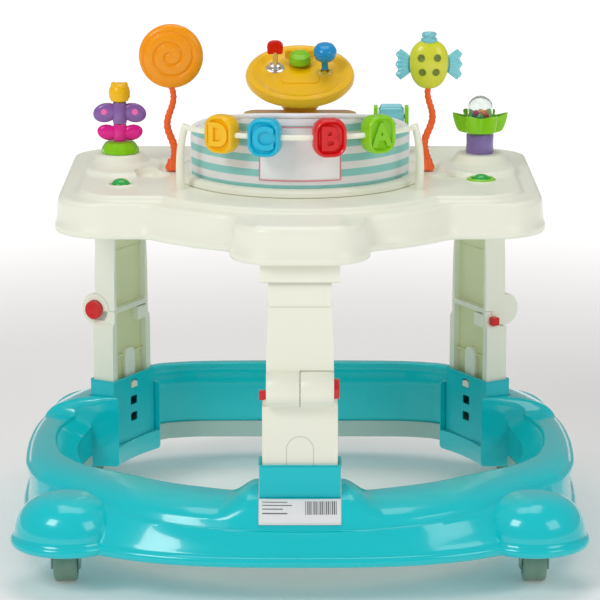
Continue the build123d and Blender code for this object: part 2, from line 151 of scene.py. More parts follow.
# tube along a path: point = path + radius * (normal cos a + binormal sin a)
def tubed(path, radius, steps=14, closed=False, side=(0, 0, 1)):
    path = np.asarray(path, float)
    if closed:
        tangent = np.roll(path, -1, 0) - np.roll(path, 1, 0)
    else:
        tangent = np.gradient(path, axis=0)
    tangent = tangent / np.linalg.norm(tangent, axis=1, keepdims=True)
    reference = np.broadcast_to(np.asarray(side, float), path.shape)
    normal = reference - (reference * tangent).sum(1, keepdims=True) * tangent
    normal = normal / np.linalg.norm(normal, axis=1, keepdims=True)
    binormal = np.cross(tangent, normal)
    angle = fullTurn(steps)
    radius = np.broadcast_to(np.asarray(radius, float), (len(path),))[:, None, None]
    ring = np.cos(angle)[None, :, None] * normal[:, None]
    ring = ring + np.sin(angle)[None, :, None] * binormal[:, None]
    points = path[:, None] + radius * ring
    if not closed:
        ends = [np.broadcast_to(path[k], (1, steps, 3)) for k in (0, -1)]
        points = np.concatenate([ends[0], points, ends[1]])
    return gridPart(points, closed, True)


# rounds the corners of a closed outline: each corner is an arc of its radius
def roundedLoop(corners2d, radii, steps=6):
    p = np.asarray(corners2d, float)
    radii = np.broadcast_to(radii, (len(p),))
    before, after = np.roll(p, 1, 0) - p, np.roll(p, -1, 0) - p
    a = before / np.linalg.norm(before, axis=1, keepdims=True)
    b = after / np.linalg.norm(after, axis=1, keepdims=True)
    half = np.arccos(np.clip((a * b).sum(1), -1, 1)) / 2
    reach = radii / np.tan(half)
    way = (a + b) / np.linalg.norm(a + b, axis=1, keepdims=True)
    centre = p + way * (radii / np.sin(half))[:, None]
    start, end = p + a * reach[:, None] - centre, p + b * reach[:, None] - centre
    first = np.arctan2(start[:, 1], start[:, 0])
    turn = np.arctan2(end[:, 1], end[:, 0]) - first
    turn = (turn + pi) % (2 * pi) - pi
    angle = first[:, None] + turn[:, None] * np.linspace(0, 1, steps)
    loop = centre[:, None] + radii[:, None, None] * np.stack([np.cos(angle), np.sin(angle)], -1)
    return loop.reshape(-1, 2)


# a solid between two levels of a plane: origin + x * u + y * v + z * level
def prism(loop, low, high, origin=(0, 0, 0), basis=np.eye(3)):
    loop = np.asarray(loop, float)
    levels = np.array([low, high], float)
    flatPoints = np.concatenate([
        np.broadcast_to(loop, (2, len(loop), 2)),
        np.broadcast_to(levels[:, None, None], (2, len(loop), 1))], -1)
    points = flatPoints @ np.asarray(basis, float) + np.asarray(origin, float)
    return gridPart(points, False, True, caps=(0, 1))


# a box whose vertical or other edges are rounded later by a bevel
def boxPart(low, high, origin=(0, 0, 0), basis=np.eye(3)):
    loop = [(low[0], low[1]), (high[0], low[1]), (high[0], high[1]), (low[0], high[1])]
    return prism(loop, low[2], high[2], origin, basis)


def smoothStep(x, low, high):
    t = np.clip((x - low) / (high - low), 0, 1)
    return t * t * (3 - 2 * t)


def bevelEdges(thing, width, segments=3, angle=35):
    bevel = thing.modifiers.new("roundedEdges", "BEVEL")
    bevel.width = width * mm
    bevel.segments = segments
    bevel.limit_method = "ANGLE"
    bevel.angle_limit = radians(angle)
    bevel.harden_normals = True
    return thing


# cuts the tool parts out of a piece at once, so no boolean is left on it
def cutAway(thing, parts):
    tool = meshObject("cutter", parts, flat=True)
    boolean = thing.modifiers.new("cut", "BOOLEAN")
    boolean.object = tool
    boolean.operation = "DIFFERENCE"
    boolean.solver = "EXACT"
    boolean.use_self = len(parts) > 1
    applyModifiers(thing)
    bpy.data.objects.remove(tool)
    return thing


def applyModifiers(thing):
    bpy.context.view_layer.update()
    graph = bpy.context.evaluated_depsgraph_get()
    mesh = bpy.data.meshes.new_from_object(thing.evaluated_get(graph))
    thing.modifiers.clear()
    old = thing.data
    thing.data = mesh
    bpy.data.meshes.remove(old)
    return thing


def subdivide(thing, levels=1):
    divide = thing.modifiers.new("smoother", "SUBSURF")
    divide.levels = divide.render_levels = levels
    return thing


# gives a piece its finish and its body, and hides the nodes it stands for
def place(thing, body, slot, finish, *nodes):
    thing.data.materials.clear()
    thing.data.materials.append(finishes[finish])
    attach(thing, body)
    if nodes:
        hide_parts(*nodes)
    return thing


# makes a piece, rounds its edges by (width, segments, angle) if asked, and places it
def addPiece(name, parts, body, slot, finish, *nodes, bevel=None, flat=False, sharp=38):
    thing = meshObject(name, parts, flat, sharp)
    if bevel:
        bevelEdges(thing, *bevel)
    return place(thing, body, slot, finish, *nodes)


# an empty node group with its sockets, and its two end nodes
def newGroup(name, inputs, outputs):
    group = bpy.data.node_groups.new(name, "ShaderNodeTree")
    for socket, kind, value in inputs:
        made = group.interface.new_socket(socket, in_out="INPUT", socket_type=kind)
        if value is not None:
            made.default_value = value
    for socket, kind in outputs:
        group.interface.new_socket(socket, in_out="OUTPUT", socket_type=kind)
    return group, group.nodes.new("NodeGroupInput"), group.nodes.new("NodeGroupOutput")


def mathNode(tree, operation, a, b=None, clamp=False):
    node = tree.nodes.new("ShaderNodeMath")
    node.operation = operation
    node.use_clamp = clamp
    for socket, value in zip(node.inputs, (a, b)):
        if value is None:
            continue
        if isinstance(value, (int, float)):
            socket.default_value = value
        else:
            tree.links.new(value, socket)
    return node.outputs[0]


def mixColour(tree, factor, a, b, blend="MIX"):
    node = tree.nodes.new("ShaderNodeMix")
    node.data_type = "RGBA"
    node.blend_type = blend
    for socket, value in zip((node.inputs[0], node.inputs[6], node.inputs[7]), (factor, a, b)):
        if isinstance(value, (int, float)):
            socket.default_value = value
        elif isinstance(value, tuple):
            socket.default_value = value
        else:
            tree.links.new(value, socket)
    return node.outputs[2]


# moulded skin: a slow drift of colour, a fine orange-peel height, and a drift of roughness
def mouldedSkinGroup():
    group, given, out = newGroup("mouldedSkin", [
        ("Vector", "NodeSocketVector", None), ("Colour", "NodeSocketColor", (1, 1, 1, 1)),
        ("Roughness", "NodeSocketFloat", 0.3), ("Drift", "NodeSocketFloat", 0.05),
        ("Peel Scale", "NodeSocketFloat", 900.0)],
        [("Colour", "NodeSocketColor"), ("Roughness", "NodeSocketFloat"), ("Height", "NodeSocketFloat")])
    slow = group.nodes.new("ShaderNodeTexNoise")
    slow.inputs["Scale"].default_value = 14
    slow.inputs["Detail"].default_value = 3
    fine = group.nodes.new("ShaderNodeTexNoise")
    fine.inputs["Detail"].default_value = 2
    link = group.links.new
    link(given.outputs["Vector"], slow.inputs["Vector"])
    link(given.outputs["Vector"], fine.inputs["Vector"])
    link(given.outputs["Peel Scale"], fine.inputs["Scale"])
    centred = mathNode(group, "SUBTRACT", slow.outputs["Fac"], 0.5)
    amount = mathNode(group, "MULTIPLY", centred, given.outputs["Drift"])
    bright = mathNode(group, "ADD", amount, 1.0)
    tint = group.nodes.new("ShaderNodeVectorMath")
    tint.operation = "SCALE"
    link(given.outputs["Colour"], tint.inputs[0])
    link(bright, tint.inputs["Scale"])
    link(tint.outputs[0], out.inputs["Colour"])
    rough = mathNode(group, "ADD", given.outputs["Roughness"], amount, clamp=True)
    link(rough, out.inputs["Roughness"])
    link(fine.outputs["Fac"], out.inputs["Height"])
    return group


# handled edges: paler and rougher where the surface is sharply convex, broken up by noise
def edgeWearGroup():
    group, given, out = newGroup("edgeWear", [
        ("Vector", "NodeSocketVector", None), ("Colour", "NodeSocketColor", (1, 1, 1, 1)),
        ("Roughness", "NodeSocketFloat", 0.3), ("Amount", "NodeSocketFloat", 0.3)],
        [("Colour", "NodeSocketColor"), ("Roughness", "NodeSocketFloat")])
    shape = group.nodes.new("ShaderNodeNewGeometry")
    patchy = group.nodes.new("ShaderNodeTexNoise")
    patchy.inputs["Scale"].default_value = 160
    group.links.new(given.outputs["Vector"], patchy.inputs["Vector"])
    edge = mathNode(group, "SUBTRACT", shape.outputs["Pointiness"], 0.54)
    edge = mathNode(group, "MULTIPLY", edge, 9.0, clamp=True)
    edge = mathNode(group, "MULTIPLY", edge, patchy.outputs["Fac"])
    edge = mathNode(group, "MULTIPLY", edge, given.outputs["Amount"], clamp=True)
    paler = mixColour(group, edge, given.outputs["Colour"], (0.92, 0.94, 0.93, 1))
    group.links.new(paler, out.inputs["Colour"])
    rougher = mathNode(group, "MULTIPLY", edge, 0.3)
    rougher = mathNode(group, "ADD", given.outputs["Roughness"], rougher, clamp=True)
    group.links.new(rougher, out.inputs["Roughness"])
    return group


# plain weave: two crossed sets of threads, height = half the product of the two waves, plus a half
def weaveGroup():
    group, given, out = newGroup("plainWeave", [
        ("Vector", "NodeSocketVector", None), ("Threads", "NodeSocketFloat", 60.0)],
        [("Height", "NodeSocketFloat"), ("Shade", "NodeSocketFloat")])
    split = group.nodes.new("ShaderNodeSeparateXYZ")
    group.links.new(given.outputs["Vector"], split.inputs[0])
    waves = []
    for axis in (0, 1):
        phase = mathNode(group, "MULTIPLY", split.outputs[axis], given.outputs["Threads"])
        phase = mathNode(group, "MULTIPLY", phase, 2 * pi)
        waves.append(mathNode(group, "SINE", phase))
    product = mathNode(group, "MULTIPLY", waves[0], waves[1])
    height = mathNode(group, "MULTIPLY", product, 0.5)
    height = mathNode(group, "ADD", height, 0.5)
    group.links.new(height, out.inputs["Height"])
    fuzz = group.nodes.new("ShaderNodeTexNoise")
    fuzz.inputs["Scale"].default_value = 40
    fuzz.inputs["Detail"].default_value = 4
    group.links.new(given.outputs["Vector"], fuzz.inputs["Vector"])
    # shade: painted shade where the threads sink, plus a soft random tone from the fuzz, on a base of 0.86
    shade = mathNode(group, "MULTIPLY", height, 0.12)
    soft = mathNode(group, "MULTIPLY", fuzz.outputs["Fac"], 0.10)
    shade = mathNode(group, "ADD", shade, soft)
    shade = mathNode(group, "ADD", shade, 0.86)
    group.links.new(shade, out.inputs["Shade"])
    return group


mouldedSkin = mouldedSkinGroup()
edgeWear = edgeWearGroup()
plainWeave = weaveGroup()


def linear(red, green, blue):
    c = np.array([red, green, blue], float) / 255
    return tuple(np.where(c <= 0.04045, c / 12.92, ((c + 0.055) / 1.055) ** 2.4)) + (1.0,)


def useGroup(tree, group, **values):
    node = tree.nodes.new("ShaderNodeGroup")
    node.node_tree = group
    for name, value in values.items():
        socket = node.inputs[name.replace("_", " ")]
        if isinstance(value, (int, float, tuple)):
            socket.default_value = value
        else:
            tree.links.new(value, socket)
    return node


# moulded plastic: drifted colour, worn edges and orange peel feed one shader
def plastic(name, colour, rough=0.3, coat=0.25, drift=0.05, peel=0.05, wear=0.25,
            through=0.0, depth=0.0, specular=0.5):
    finish = bpy.data.materials.new(name)
    finish.use_nodes = True
    tree = finish.node_tree
    shader = tree.nodes["Principled BSDF"]
    where = tree.nodes.new("ShaderNodeTexCoord").outputs["Object"]
    skin = useGroup(tree, mouldedSkin, Vector=where, Colour=colour, Roughness=rough, Drift=drift)
    worn = useGroup(tree, edgeWear, Vector=where, Colour=skin.outputs["Colour"],
                    Roughness=skin.outputs["Roughness"], Amount=wear)
    bump = tree.nodes.new("ShaderNodeBump")
    bump.inputs["Strength"].default_value = peel
    bump.inputs["Distance"].default_value = 0.0004
    tree.links.new(skin.outputs["Height"], bump.inputs["Height"])
    tree.links.new(worn.outputs["Colour"], shader.inputs["Base Color"])
    tree.links.new(worn.outputs["Roughness"], shader.inputs["Roughness"])
    tree.links.new(bump.outputs["Normal"], shader.inputs["Normal"])
    shader.inputs["Coat Weight"].default_value = coat
    shader.inputs["Coat Roughness"].default_value = 0.06
    shader.inputs["Specular IOR Level"].default_value = specular
    shader.inputs["Transmission Weight"].default_value = through
    if depth:
        shader.inputs["Subsurface Weight"].default_value = depth
        shader.inputs["Subsurface Radius"].default_value = (0.01, 0.01, 0.008)
        shader.inputs["Subsurface Scale"].default_value = 1.0
    return finish


print("helpers ready")
finishes = {
    "ivory": plastic("ivoryPlastic", linear(250, 251, 234), rough=0.34, coat=0.12, drift=0.02),
    "turquoise": plastic("turquoisePlastic", linear(0, 212, 222), rough=0.2, coat=0.6, drift=0.04,
                         specular=0.35),
    "socketTeal": plastic("socketPlastic", linear(0, 206, 218), rough=0.3, coat=0.25, drift=0.04,
                          specular=0.3),
    "pale_band": plastic("bandPlastic", linear(176, 208, 200), rough=0.42, coat=0.0),
    "steel": plastic("pinSteel", (0.55, 0.55, 0.56, 1), rough=0.3, coat=0.0),
    "fork_grey": plastic("forkPlastic", linear(150, 178, 168), rough=0.4, coat=0.0),
    "wheel_green": plastic("wheelPlastic", linear(140, 168, 148), rough=0.45, coat=0.1),
    "red": plastic("redPlastic", linear(226, 8, 18), rough=0.25, coat=0.25, specular=0.3),
    "yellow": plastic("yellowPlastic", linear(255, 198, 0), rough=0.28, coat=0.2, specular=0.3),
    "cyan": plastic("cyanPlastic", linear(10, 190, 226), rough=0.25, coat=0.25, specular=0.3),
    "lime": plastic("limePlastic", linear(140, 214, 10), rough=0.27, coat=0.2, specular=0.3),
    "orange": plastic("orangeStalk", linear(255, 98, 8), rough=0.42, coat=0.1),
    "amber": plastic("amberPlastic", linear(255, 160, 0), rough=0.27, coat=0.2, specular=0.3),
    "fish_yellow": plastic("fishPlastic", linear(222, 224, 50), rough=0.3, coat=0.3),
    "ice_blue": plastic("icePlastic", linear(140, 226, 238), rough=0.2, coat=0.4, through=0.25),
    "finTeal": plastic("finPlastic", linear(0, 150, 165), rough=0.3, coat=0.3),
    "spotGreen": plastic("spotPlastic", linear(112, 128, 24), rough=0.4, coat=0.1),
    "magenta": plastic("magentaPlastic", linear(236, 16, 150), rough=0.25, coat=0.25, specular=0.3),
    "pink": plastic("pinkPlastic", linear(255, 96, 190), rough=0.28, coat=0.3),
    "purple": plastic("purplePlastic", linear(136, 92, 172), rough=0.28, coat=0.35),
    "drumPurple": plastic("drumPlastic", linear(132, 110, 176), rough=0.3, coat=0.3),
    "olive": plastic("olivePlastic", linear(222, 184, 44), rough=0.3, coat=0.3),
    "blue": plastic("bluePlastic", linear(0, 150, 216), rough=0.2, coat=0.35, specular=0.3),
    "green": plastic("greenPlastic", linear(20, 178, 66), rough=0.24, coat=0.45),
    # ivory darkened and yellowed: painted shade for the inside of the leg channels
    "ivoryPaintedShade": plastic("paintedShadeIvory", linear(232, 236, 186), rough=0.45, coat=0.0, drift=0.03),
    # darker ivory for thin lines: painted shadow in hairline grooves and seams
    "grooveShadowLine": plastic("paintedGrooveShadow", linear(200, 202, 176), rough=0.6, coat=0.0),
    "sticker": plastic("stickerPaper", linear(244, 246, 248), rough=0.55, coat=0.0, wear=0.0),
    "stickerInk": plastic("stickerInk", linear(90, 96, 100), rough=0.6, coat=0.0, wear=0.0), }


def silverFinish():
    finish = plastic("silverPlastic", (0.75, 0.74, 0.72, 1), rough=0.18, coat=0.2)
    finish.node_tree.nodes["Principled BSDF"].inputs["Metallic"].default_value = 0.9
    return finish


# clear plastic: full transmission, with the moulded skin's fine height
def clearFinish():
    finish = plastic("clearPlastic", (0.94, 0.98, 0.96, 1), rough=0.05, coat=0.0, wear=0.0, peel=0.02)
    shader = finish.node_tree.nodes["Principled BSDF"]
    shader.inputs["Transmission Weight"].default_value = 0.95
    shader.inputs["IOR"].default_value = 1.3
    return finish


# level bands: a ramp over the fraction of V / period
def levelBands(tree, where, period, ground, stripe):
    split = tree.nodes.new("ShaderNodeSeparateXYZ")
    tree.links.new(where, split.inputs[0])
    band = mathNode(tree, "FRACT", mathNode(tree, "MULTIPLY", split.outputs[1], 1 / period))
    ramp = tree.nodes.new("ShaderNodeValToRGB")
    tree.links.new(band, ramp.inputs[0])
    first, last = ramp.color_ramp.elements
    first.color, last.color = ground, ground
    for position, colour in ((0.46, ground), (0.5, stripe), (0.96, stripe)):
        ramp.color_ramp.elements.new(position).color = colour
    return ramp.outputs[0]


# woven cloth: the weave on the UV map shades the colour and lifts the surface
def wovenCloth(name, colour, stripe=None, period=0.0172, threads=420.0,
               roughness=0.8, sheen=0.2, specular=0.5, lift=0.3, depth=0.0002):
    finish = bpy.data.materials.new(name)
    finish.use_nodes = True
    tree = finish.node_tree
    shader = tree.nodes["Principled BSDF"]
    where = tree.nodes.new("ShaderNodeTexCoord").outputs["UV"]
    weave = useGroup(tree, plainWeave, Vector=where, Threads=threads)
    shaded = tree.nodes.new("ShaderNodeVectorMath")
    shaded.operation = "SCALE"
    if stripe:
        tree.links.new(levelBands(tree, where, period, colour, stripe), shaded.inputs[0])
    else:
        shaded.inputs[0].default_value = colour[:3]
    tree.links.new(weave.outputs["Shade"], shaded.inputs["Scale"])
    bump = tree.nodes.new("ShaderNodeBump")
    bump.inputs["Strength"].default_value = lift
    bump.inputs["Distance"].default_value = depth
    tree.links.new(weave.outputs["Height"], bump.inputs["Height"])
    tree.links.new(shaded.outputs[0], shader.inputs["Base Color"])
    tree.links.new(bump.outputs["Normal"], shader.inputs["Normal"])
    shader.inputs["Roughness"].default_value = roughness
    shader.inputs["Sheen Weight"].default_value = sheen
    shader.inputs["Specular IOR Level"].default_value = specular
    return finish


finishes["silver"] = silverFinish()
finishes["clear"] = clearFinish()
finishes["striped_cloth"] = wovenCloth("stripedCloth", linear(238, 238, 240), linear(146, 212, 208),
                                       roughness=0.85, sheen=0.3, specular=0.2, lift=0.35, depth=0.0003)
finishes["whiteCloth"] = wovenCloth("whiteCloth", linear(246, 247, 248))
finishes["pinkCloth"] = wovenCloth("pinkCloth", linear(236, 140, 150))
print("finishes ready")

# base ring: half widths, then heights above the floor
baseRing = {"steps": 720, "halfX": 330.0, "halfY": 312.0, "bottom": 49.0,
            "crease": 87.0, "top": 116.0, "rearTop": 142.0, "legTop": 131.0, "stepLine": 127.0,
            "squareness": 2.8}


def legOffsets(angle, radius):
    near = np.full(np.shape(angle), 1e9)
    for turn in legTurns.values():
        away = (angle - radians(turn) + pi) % (2 * pi) - pi
        t = radius * np.sin(away)
        near = np.where(np.cos(away) > 0.7, np.minimum(near, np.abs(t)), near)
    return near


# outline of the ring: (|cos a| / halfX) ^ n + (|sin a| / halfY) ^ n = 1 / r ^ n
def ringOuter(a):
    n = baseRing["squareness"]
    return (np.abs(np.cos(a) / baseRing["halfX"]) ** n
            + np.abs(np.sin(a) / baseRing["halfY"]) ** n) ** (-1 / n)

# the right half of the ring, by degrees from the front (-90) to the rear (90)
ringTables = {
    "inner": ((-90, -78, -63, -42, -34, -25, -15, 0, 17.2, 18.4, 41.6, 42.8, 47, 53, 60, 65, 70, 75, 80, 85,
               90),
              (236, 237, 241, 254, 261, 266, 268, 269, 269, 236, 236, 282, 286, 284, 271, 260, 251, 244.3,
               239.6, 237, 236)),
    "setBack": ((-90, -75, -65, -55, -45, -35, -25, -15, 0, 20, 35, 50, 65, 90),
                (17, 18, 22, 29, 35, 31, 14, 7, 5, 6, 12, 16, 17, 17)),
    "bandReach": ((-90, -78, -63, -42, -34, -25, -15, 0, 17.2, 42.8, 47, 53, 60, 65, 70, 75, 80, 85, 90),
                  (236, 237, 241, 254, 261, 266, 268, 269, 272, 282, 286, 284, 271, 260, 251, 244.3, 239.6,
                   237, 236)),
    "bandLift": ((-40, -30, 42.4, 43.6), (0, 9, 9, 0)),
    "innerLow": ((-46, -38, 42.6, 43.8), (62, 51, 51, 62)),
    "bay": ((-44, -36, -28, -18, 6, 17.2, 18.4), (0, 0.15, 0.6, 1, 1, 0.8, 0)),
    "crease": ((-90, -75, -65, -55, -45, -35, -25, -15, 0, 20, 35, 50, 90),
               (87, 88, 90, 93, 97, 99, 101, 103, 104, 104, 102, 98, 92))}


# looks a value up by azimuth; both halves are mirror images
def ringValue(name, a):
    folded = np.degrees(np.arctan2(np.sin(a), np.abs(np.cos(a))))
    return np.interp(folded, *ringTables[name])


# one closed section per azimuth: lip bead, apron, crease, convex top, inner wall, underside
# top height = base + rear rise + a hump within about 55 of a leg's middle line
# crease height, its distance from the edge and the opening come from ringTables
def baseRingPoints(c):
    a = fullTurn(c["steps"])
    outer = ringOuter(a)
    t = legOffsets(a, 250.0)
    rear = smoothStep(np.sin(a), 0.50, 0.72)
    hump = 1 - smoothStep(t, 50, np.where(np.sin(a) > 0, 60, 80))
    top = c["top"] + (c["rearTop"] - c["top"]) * rear
    top = top + (c["legTop"] + 8 * (np.sin(a) > 0) - top) * hump * (1 - 0.6 * rear)
    crease, setBack, inner = (ringValue(name, a) for name in ("crease", "setBack", "inner"))

    def ring(r, z):
        return np.stack(np.broadcast_arrays(r, z), -1)
    bead = np.linspace(-pi / 2, radians(75), 10)
    rows = [ring(outer - 6.5 + 6.5 * cos(b), c["bottom"] + 6.5 + 6.5 * sin(b) + 0 * a) for b in bead]
    for u in np.linspace(0.12, 1, 8):
        bow = 3.0 * sin(pi * u)
        rows.append(ring(outer - 4.8 - (setBack - 7.5) * u ** 1.4 - bow, 62.0 + (crease - 62.0) * u))
    rows.append(ring(outer - setBack, crease + 0.6))
    bay = ringValue("bay", a)
    slope = 24.0 * bay
    start, end, edge = outer - setBack - 1.2, inner + 5.0 + slope, 4.0
    for u in np.linspace(0, 1, 24):
        lift = (1 - (1 - u) ** 2.3) ** 0.55
        rows.append(ring(start + (end - start) * u, crease + 1.5 + (top - crease - 1.5) * lift))
    for b in np.linspace(pi / 2, pi, 6)[1:]:
        rows.append(ring(end - 1 + edge * cos(b), top - edge + edge * sin(b)))
    shelf = np.minimum(c["stepLine"], top - 7) - 9.0 * bay
    rows.append(ring(inner + 0.8 * slope, top - edge - 1.2 - 1.0 * bay))
    rows.append(ring(inner + 0.6 + 0.16 * slope, shelf + 1.0))
    rows.append(ring(inner, shelf - 0.6))
    for z in (110.0, 95.0, 80.0, 70.0):
        rows.append(ring(inner, np.minimum(z, shelf - 2)))
    low = ringValue("innerLow", a)
    rows += [ring(inner, low + 4), ring(inner + 2.5, low)]
    for u in np.linspace(0.1, 0.9, 6):
        rows.append(ring(inner + 4 + (outer - 12 - inner - 4) * u, low - 1 + (53 - low) * u))
    section = np.stack(rows, 1)
    r, z = section[..., 0], section[..., 1]
    return np.stack([r * np.cos(a)[:, None], r * np.sin(a)[:, None], z], -1)


ringPiece = meshObject("baseRing", [gridPart(baseRingPoints(baseRing), True, True)], sharp=55)
pockets = []
for turn in legTurns.values():
    for near, far, floor in ((218, 238.3, 75.5), (238.2, 276.6, 66.6)):
        around = np.array([legPoints(turn, r, t, 0)[:2] for r, t in
                           ((near, -46.2), (far, -46.2), (far, 46.2), (near, 46.2))])
        pockets.append(prism(around, floor, 190.0))
cutAway(ringPiece, pockets)
bevelEdges(ringPiece, 1.2, 2, 50)
place(ringPiece, "base", "turquoise", "turquoise", "base_shell")

# caster domes: a bead lip, a steep skirt and a crowned top, each a surface of revolution
domeShape = {"atX": 264.0, "atY": 218.0, "bottom": 50.0, "lip": 6.2, "skirt": 57.0, "waist": 62.0,
             "crown": 46.0, "stretch": 1.06}
lip, waist, crown = domeShape["lip"], domeShape["waist"], domeShape["crown"]
domeAngles = np.linspace(0, pi / 2, 22)
domeProfile = [(0.0, domeShape["bottom"]), (50.0, domeShape["bottom"])]
domeProfile += [(55.8 + lip * cos(b), 55.2 + lip * sin(b)) for b in np.linspace(-pi / 2, radians(70), 9)]
domeProfile += [(domeShape["skirt"] * cos(b) ** 0.7, waist + crown * sin(b) ** 0.95)
                for b in domeAngles[1:-1]]
domeProfile += [(0.0, waist + crown)]
domes = []
for sideX, sideY in ((-1, -1), (1, -1), (-1, 1), (1, 1)):
    points, faces = revolved(domeProfile, steps=96)
    middle = np.array([domeShape["atX"] * sideX, domeShape["atY"] * sideY, 0])
    domes.append((points * np.array([domeShape["stretch"], 1.0, 1.0]) + middle, faces))
addPiece("casterDomes", domes, "base", "turquoise", "turquoise", sharp=50)
print("base ready")

# pale ring under the inner wall: a thin wall with rounded rims
bandProfile = [(232.6, 45.0), (233.4, 44.2), (235.2, 44.2), (236.0, 45.0), (236.2, 54.0), (236.0, 65.0),
               (233.0, 65.0), (232.4, 54.0), (232.6, 45.0)]
bandTurn = fullTurn(720)
bandReach = ringValue("bandReach", bandTurn) - 236
bandLift = ringValue("bandLift", bandTurn)
bandGrid = np.array([np.stack([(r + bandReach) * np.cos(bandTurn), (r + bandReach) * np.sin(bandTurn),
                               np.maximum(z, 44.2 + bandLift + 0.1 * (z - 44.2))], -1)
                               for r, z in bandProfile])
addPiece("baseBand", [gridPart(bandGrid, False, True)], "base", "pale_band", "pale_band", "base_band")

# sticker: a thin sheet that follows the ring's front, a little above it
stickerShape = {"halfWidth": 46.0, "start": 0.012, "length": 0.298, "lift": 0.5, "inkLift": 0.85}


def onRingFront(x, u, lift):
    outer = ringOuter(np.arctan2(-290.0, x))
    start, end = outer - 18.2, 241.0
    share = stickerShape["start"] + stickerShape["length"] * u
    r = start + (end - start) * share
    foot = baseRing["crease"] + 1.5
    z = foot + (baseRing["legTop"] - foot) * (1 - (1 - share) ** 2.3) ** 0.55
    y = -np.sqrt(r ** 2 - x ** 2)
    return np.stack(np.broadcast_arrays(x, y - lift * 0.7, z + lift * 0.7), -1)


x, u = pairs(np.linspace(-stickerShape["halfWidth"], stickerShape["halfWidth"], 40),
             np.linspace(0.0, 1.0, 16))
stickerPiece = meshObject("plainSticker", [gridPart(onRingFront(x, u, stickerShape["lift"]))],
                          turnOut=False)
stickerPiece.modifiers.new("paper", "SOLIDIFY").thickness = 0.25 * mm
place(stickerPiece, "base", "turquoise", "sticker")
# sixteen bars on the right, then four ruled lines on the left
inkLines = []
for k, left in enumerate(np.linspace(6, 40, 16)):
    width = 1.1 if k % 3 else 0.6
    x, u = pairs(np.linspace(left, left + width, 2), np.linspace(0.24, 0.84, 8))
    inkLines.append(gridPart(onRingFront(x, u, stickerShape["inkLift"])))
for k in range(4):
    level = 0.26 + 0.17 * k
    x, u = pairs(np.linspace(-42, -9 - 5 * ((k + 1) % 3), 12), np.linspace(level, level + 0.035, 2))
    inkLines.append(gridPart(onRingFront(x, u, stickerShape["inkLift"])))
inkPiece = meshObject("stickerLines", inkLines, turnOut=False)
inkPiece.modifiers.new("ink", "SOLIDIFY").thickness = 0.1 * mm
place(inkPiece, "base", "turquoise", "stickerInk")

# casters: a wheel with its hub, and a fork with its stem
casterShape = {"wheelRadius": 21.0, "halfWidth": 13.5, "corner": 3.4, "stemY": 218.0}
for corner in corners:
    low, high = boxOf(corner + "_caster_wheel")
    hub = (low + high) / 2
    w, r, c = casterShape["halfWidth"], casterShape["wheelRadius"], casterShape["corner"]
    tread = [(r - c + c * sin(b), w - c + c * cos(b)) for b in np.linspace(0, pi / 2, 6)]
    face = [(0.0, w + 0.6), (4.0, w + 0.6), (4.4, w - 2.2), (12.5, w - 2.2), (14.0, w)]
    half = face + tread + [(r - 0.35, 3.0), (r - 0.9, 1.2)]
    whole = half + [(a, -b) for a, b in half[::-1]]
    sideways = basisAlong((1, 0, 0))
    wheelPiece = meshObject(corner + "Tread", [revolved(whole, hub, 56, sideways),
                                               revolved([(0, -16.4), (3, -16.4), (3, 16.4), (0, 16.4)], hub,
                                                        20, sideways)])
    place(wheelPiece, corner + "_wheel", "wheel_green", "wheel_green", corner + "_caster_wheel")
    stemX, stemY = hub[0], casterShape["stemY"] * (-1 if corner.startswith("front") else 1)
    rear = 1 if hub[1] > stemY else -1  # which way the wheel trails
    arms = []
    for side in (-1, 1):
        outline = roundedLoop([(stemY - 4 * rear, 47.5), (stemY - 4 * rear, 40), (hub[1] - 9 * rear, 15),
                               (hub[1] + 9 * rear, 14), (hub[1] + 8 * rear, 47.5)], [1, 6, 5, 6, 1])
        arms.append(prism(outline, 14.2, 16.8, (stemX, 0, 0),
                          np.array([[0, 1, 0], [0, 0, 1], [side, 0, 0]], float)))
    arms.append(boxPart((-16.8, min(-4 * rear, 23 * rear), 44.6), (16.8, max(-4 * rear, 23 * rear), 48.2),
                        (stemX, stemY, 0)))
    arms.append(revolved([(0, 44.2), (15, 44.2), (15, 48.3), (9, 48.3), (5, 49), (5, 84), (0, 84)],
                         (stemX, stemY, 0), 32))
    addPiece(corner + "Fork", arms, corner + "_fork", "fork_grey", "fork_grey", corner + "_caster_fork",
             bevel=(0.6, 2))
print("casters ready")

# legs: a place is (distance from the middle, height)
legShape = {"outer": 270.0, "inner": 241.5, "knee": (270.0, 245.0), "barrel": 20.0, "kneeGap": 20.7,
            "channelHalf": 32.5, "channelFloor": 266.6, "slots": (104, 125, 146)}


def legFrame(turn, rows):
    c, s = cos(radians(turn)), sin(radians(turn))
    ways = {"out": (c, s, 0), "side": (-s, c, 0), "up": (0, 0, 1)}
    return np.array([ways[w] for w in rows], float)


# a block that is drawn from the side (radius, height) and runs along the tangent
def fromSide(turn, loop, start, end):
    return prism(loop, start, end, (0, 0, 0), legFrame(turn, ("out", "up", "side")))


# a block that is drawn from outside (tangent, height) and runs along the radius
def fromOutside(turn, loop, start, end):
    return prism(loop, start, end, (0, 0, 0), legFrame(turn, ("side", "up", "out")))


def alongTangent(turn, centre, profile, steps=64):
    basis = basisAlong(legFrame(turn, ("side",))[0])
    return revolved(profile, legPoints(turn, centre[0], 0.0, centre[1]), steps, basis)


def rectLoop(x0, x1, y0, y1, radius=0.0, steps=5):
    loop = [(x0, y0), (x1, y0), (x1, y1), (x0, y1)]
    return roundedLoop(loop, radius, steps) if radius else np.array(loop, float)


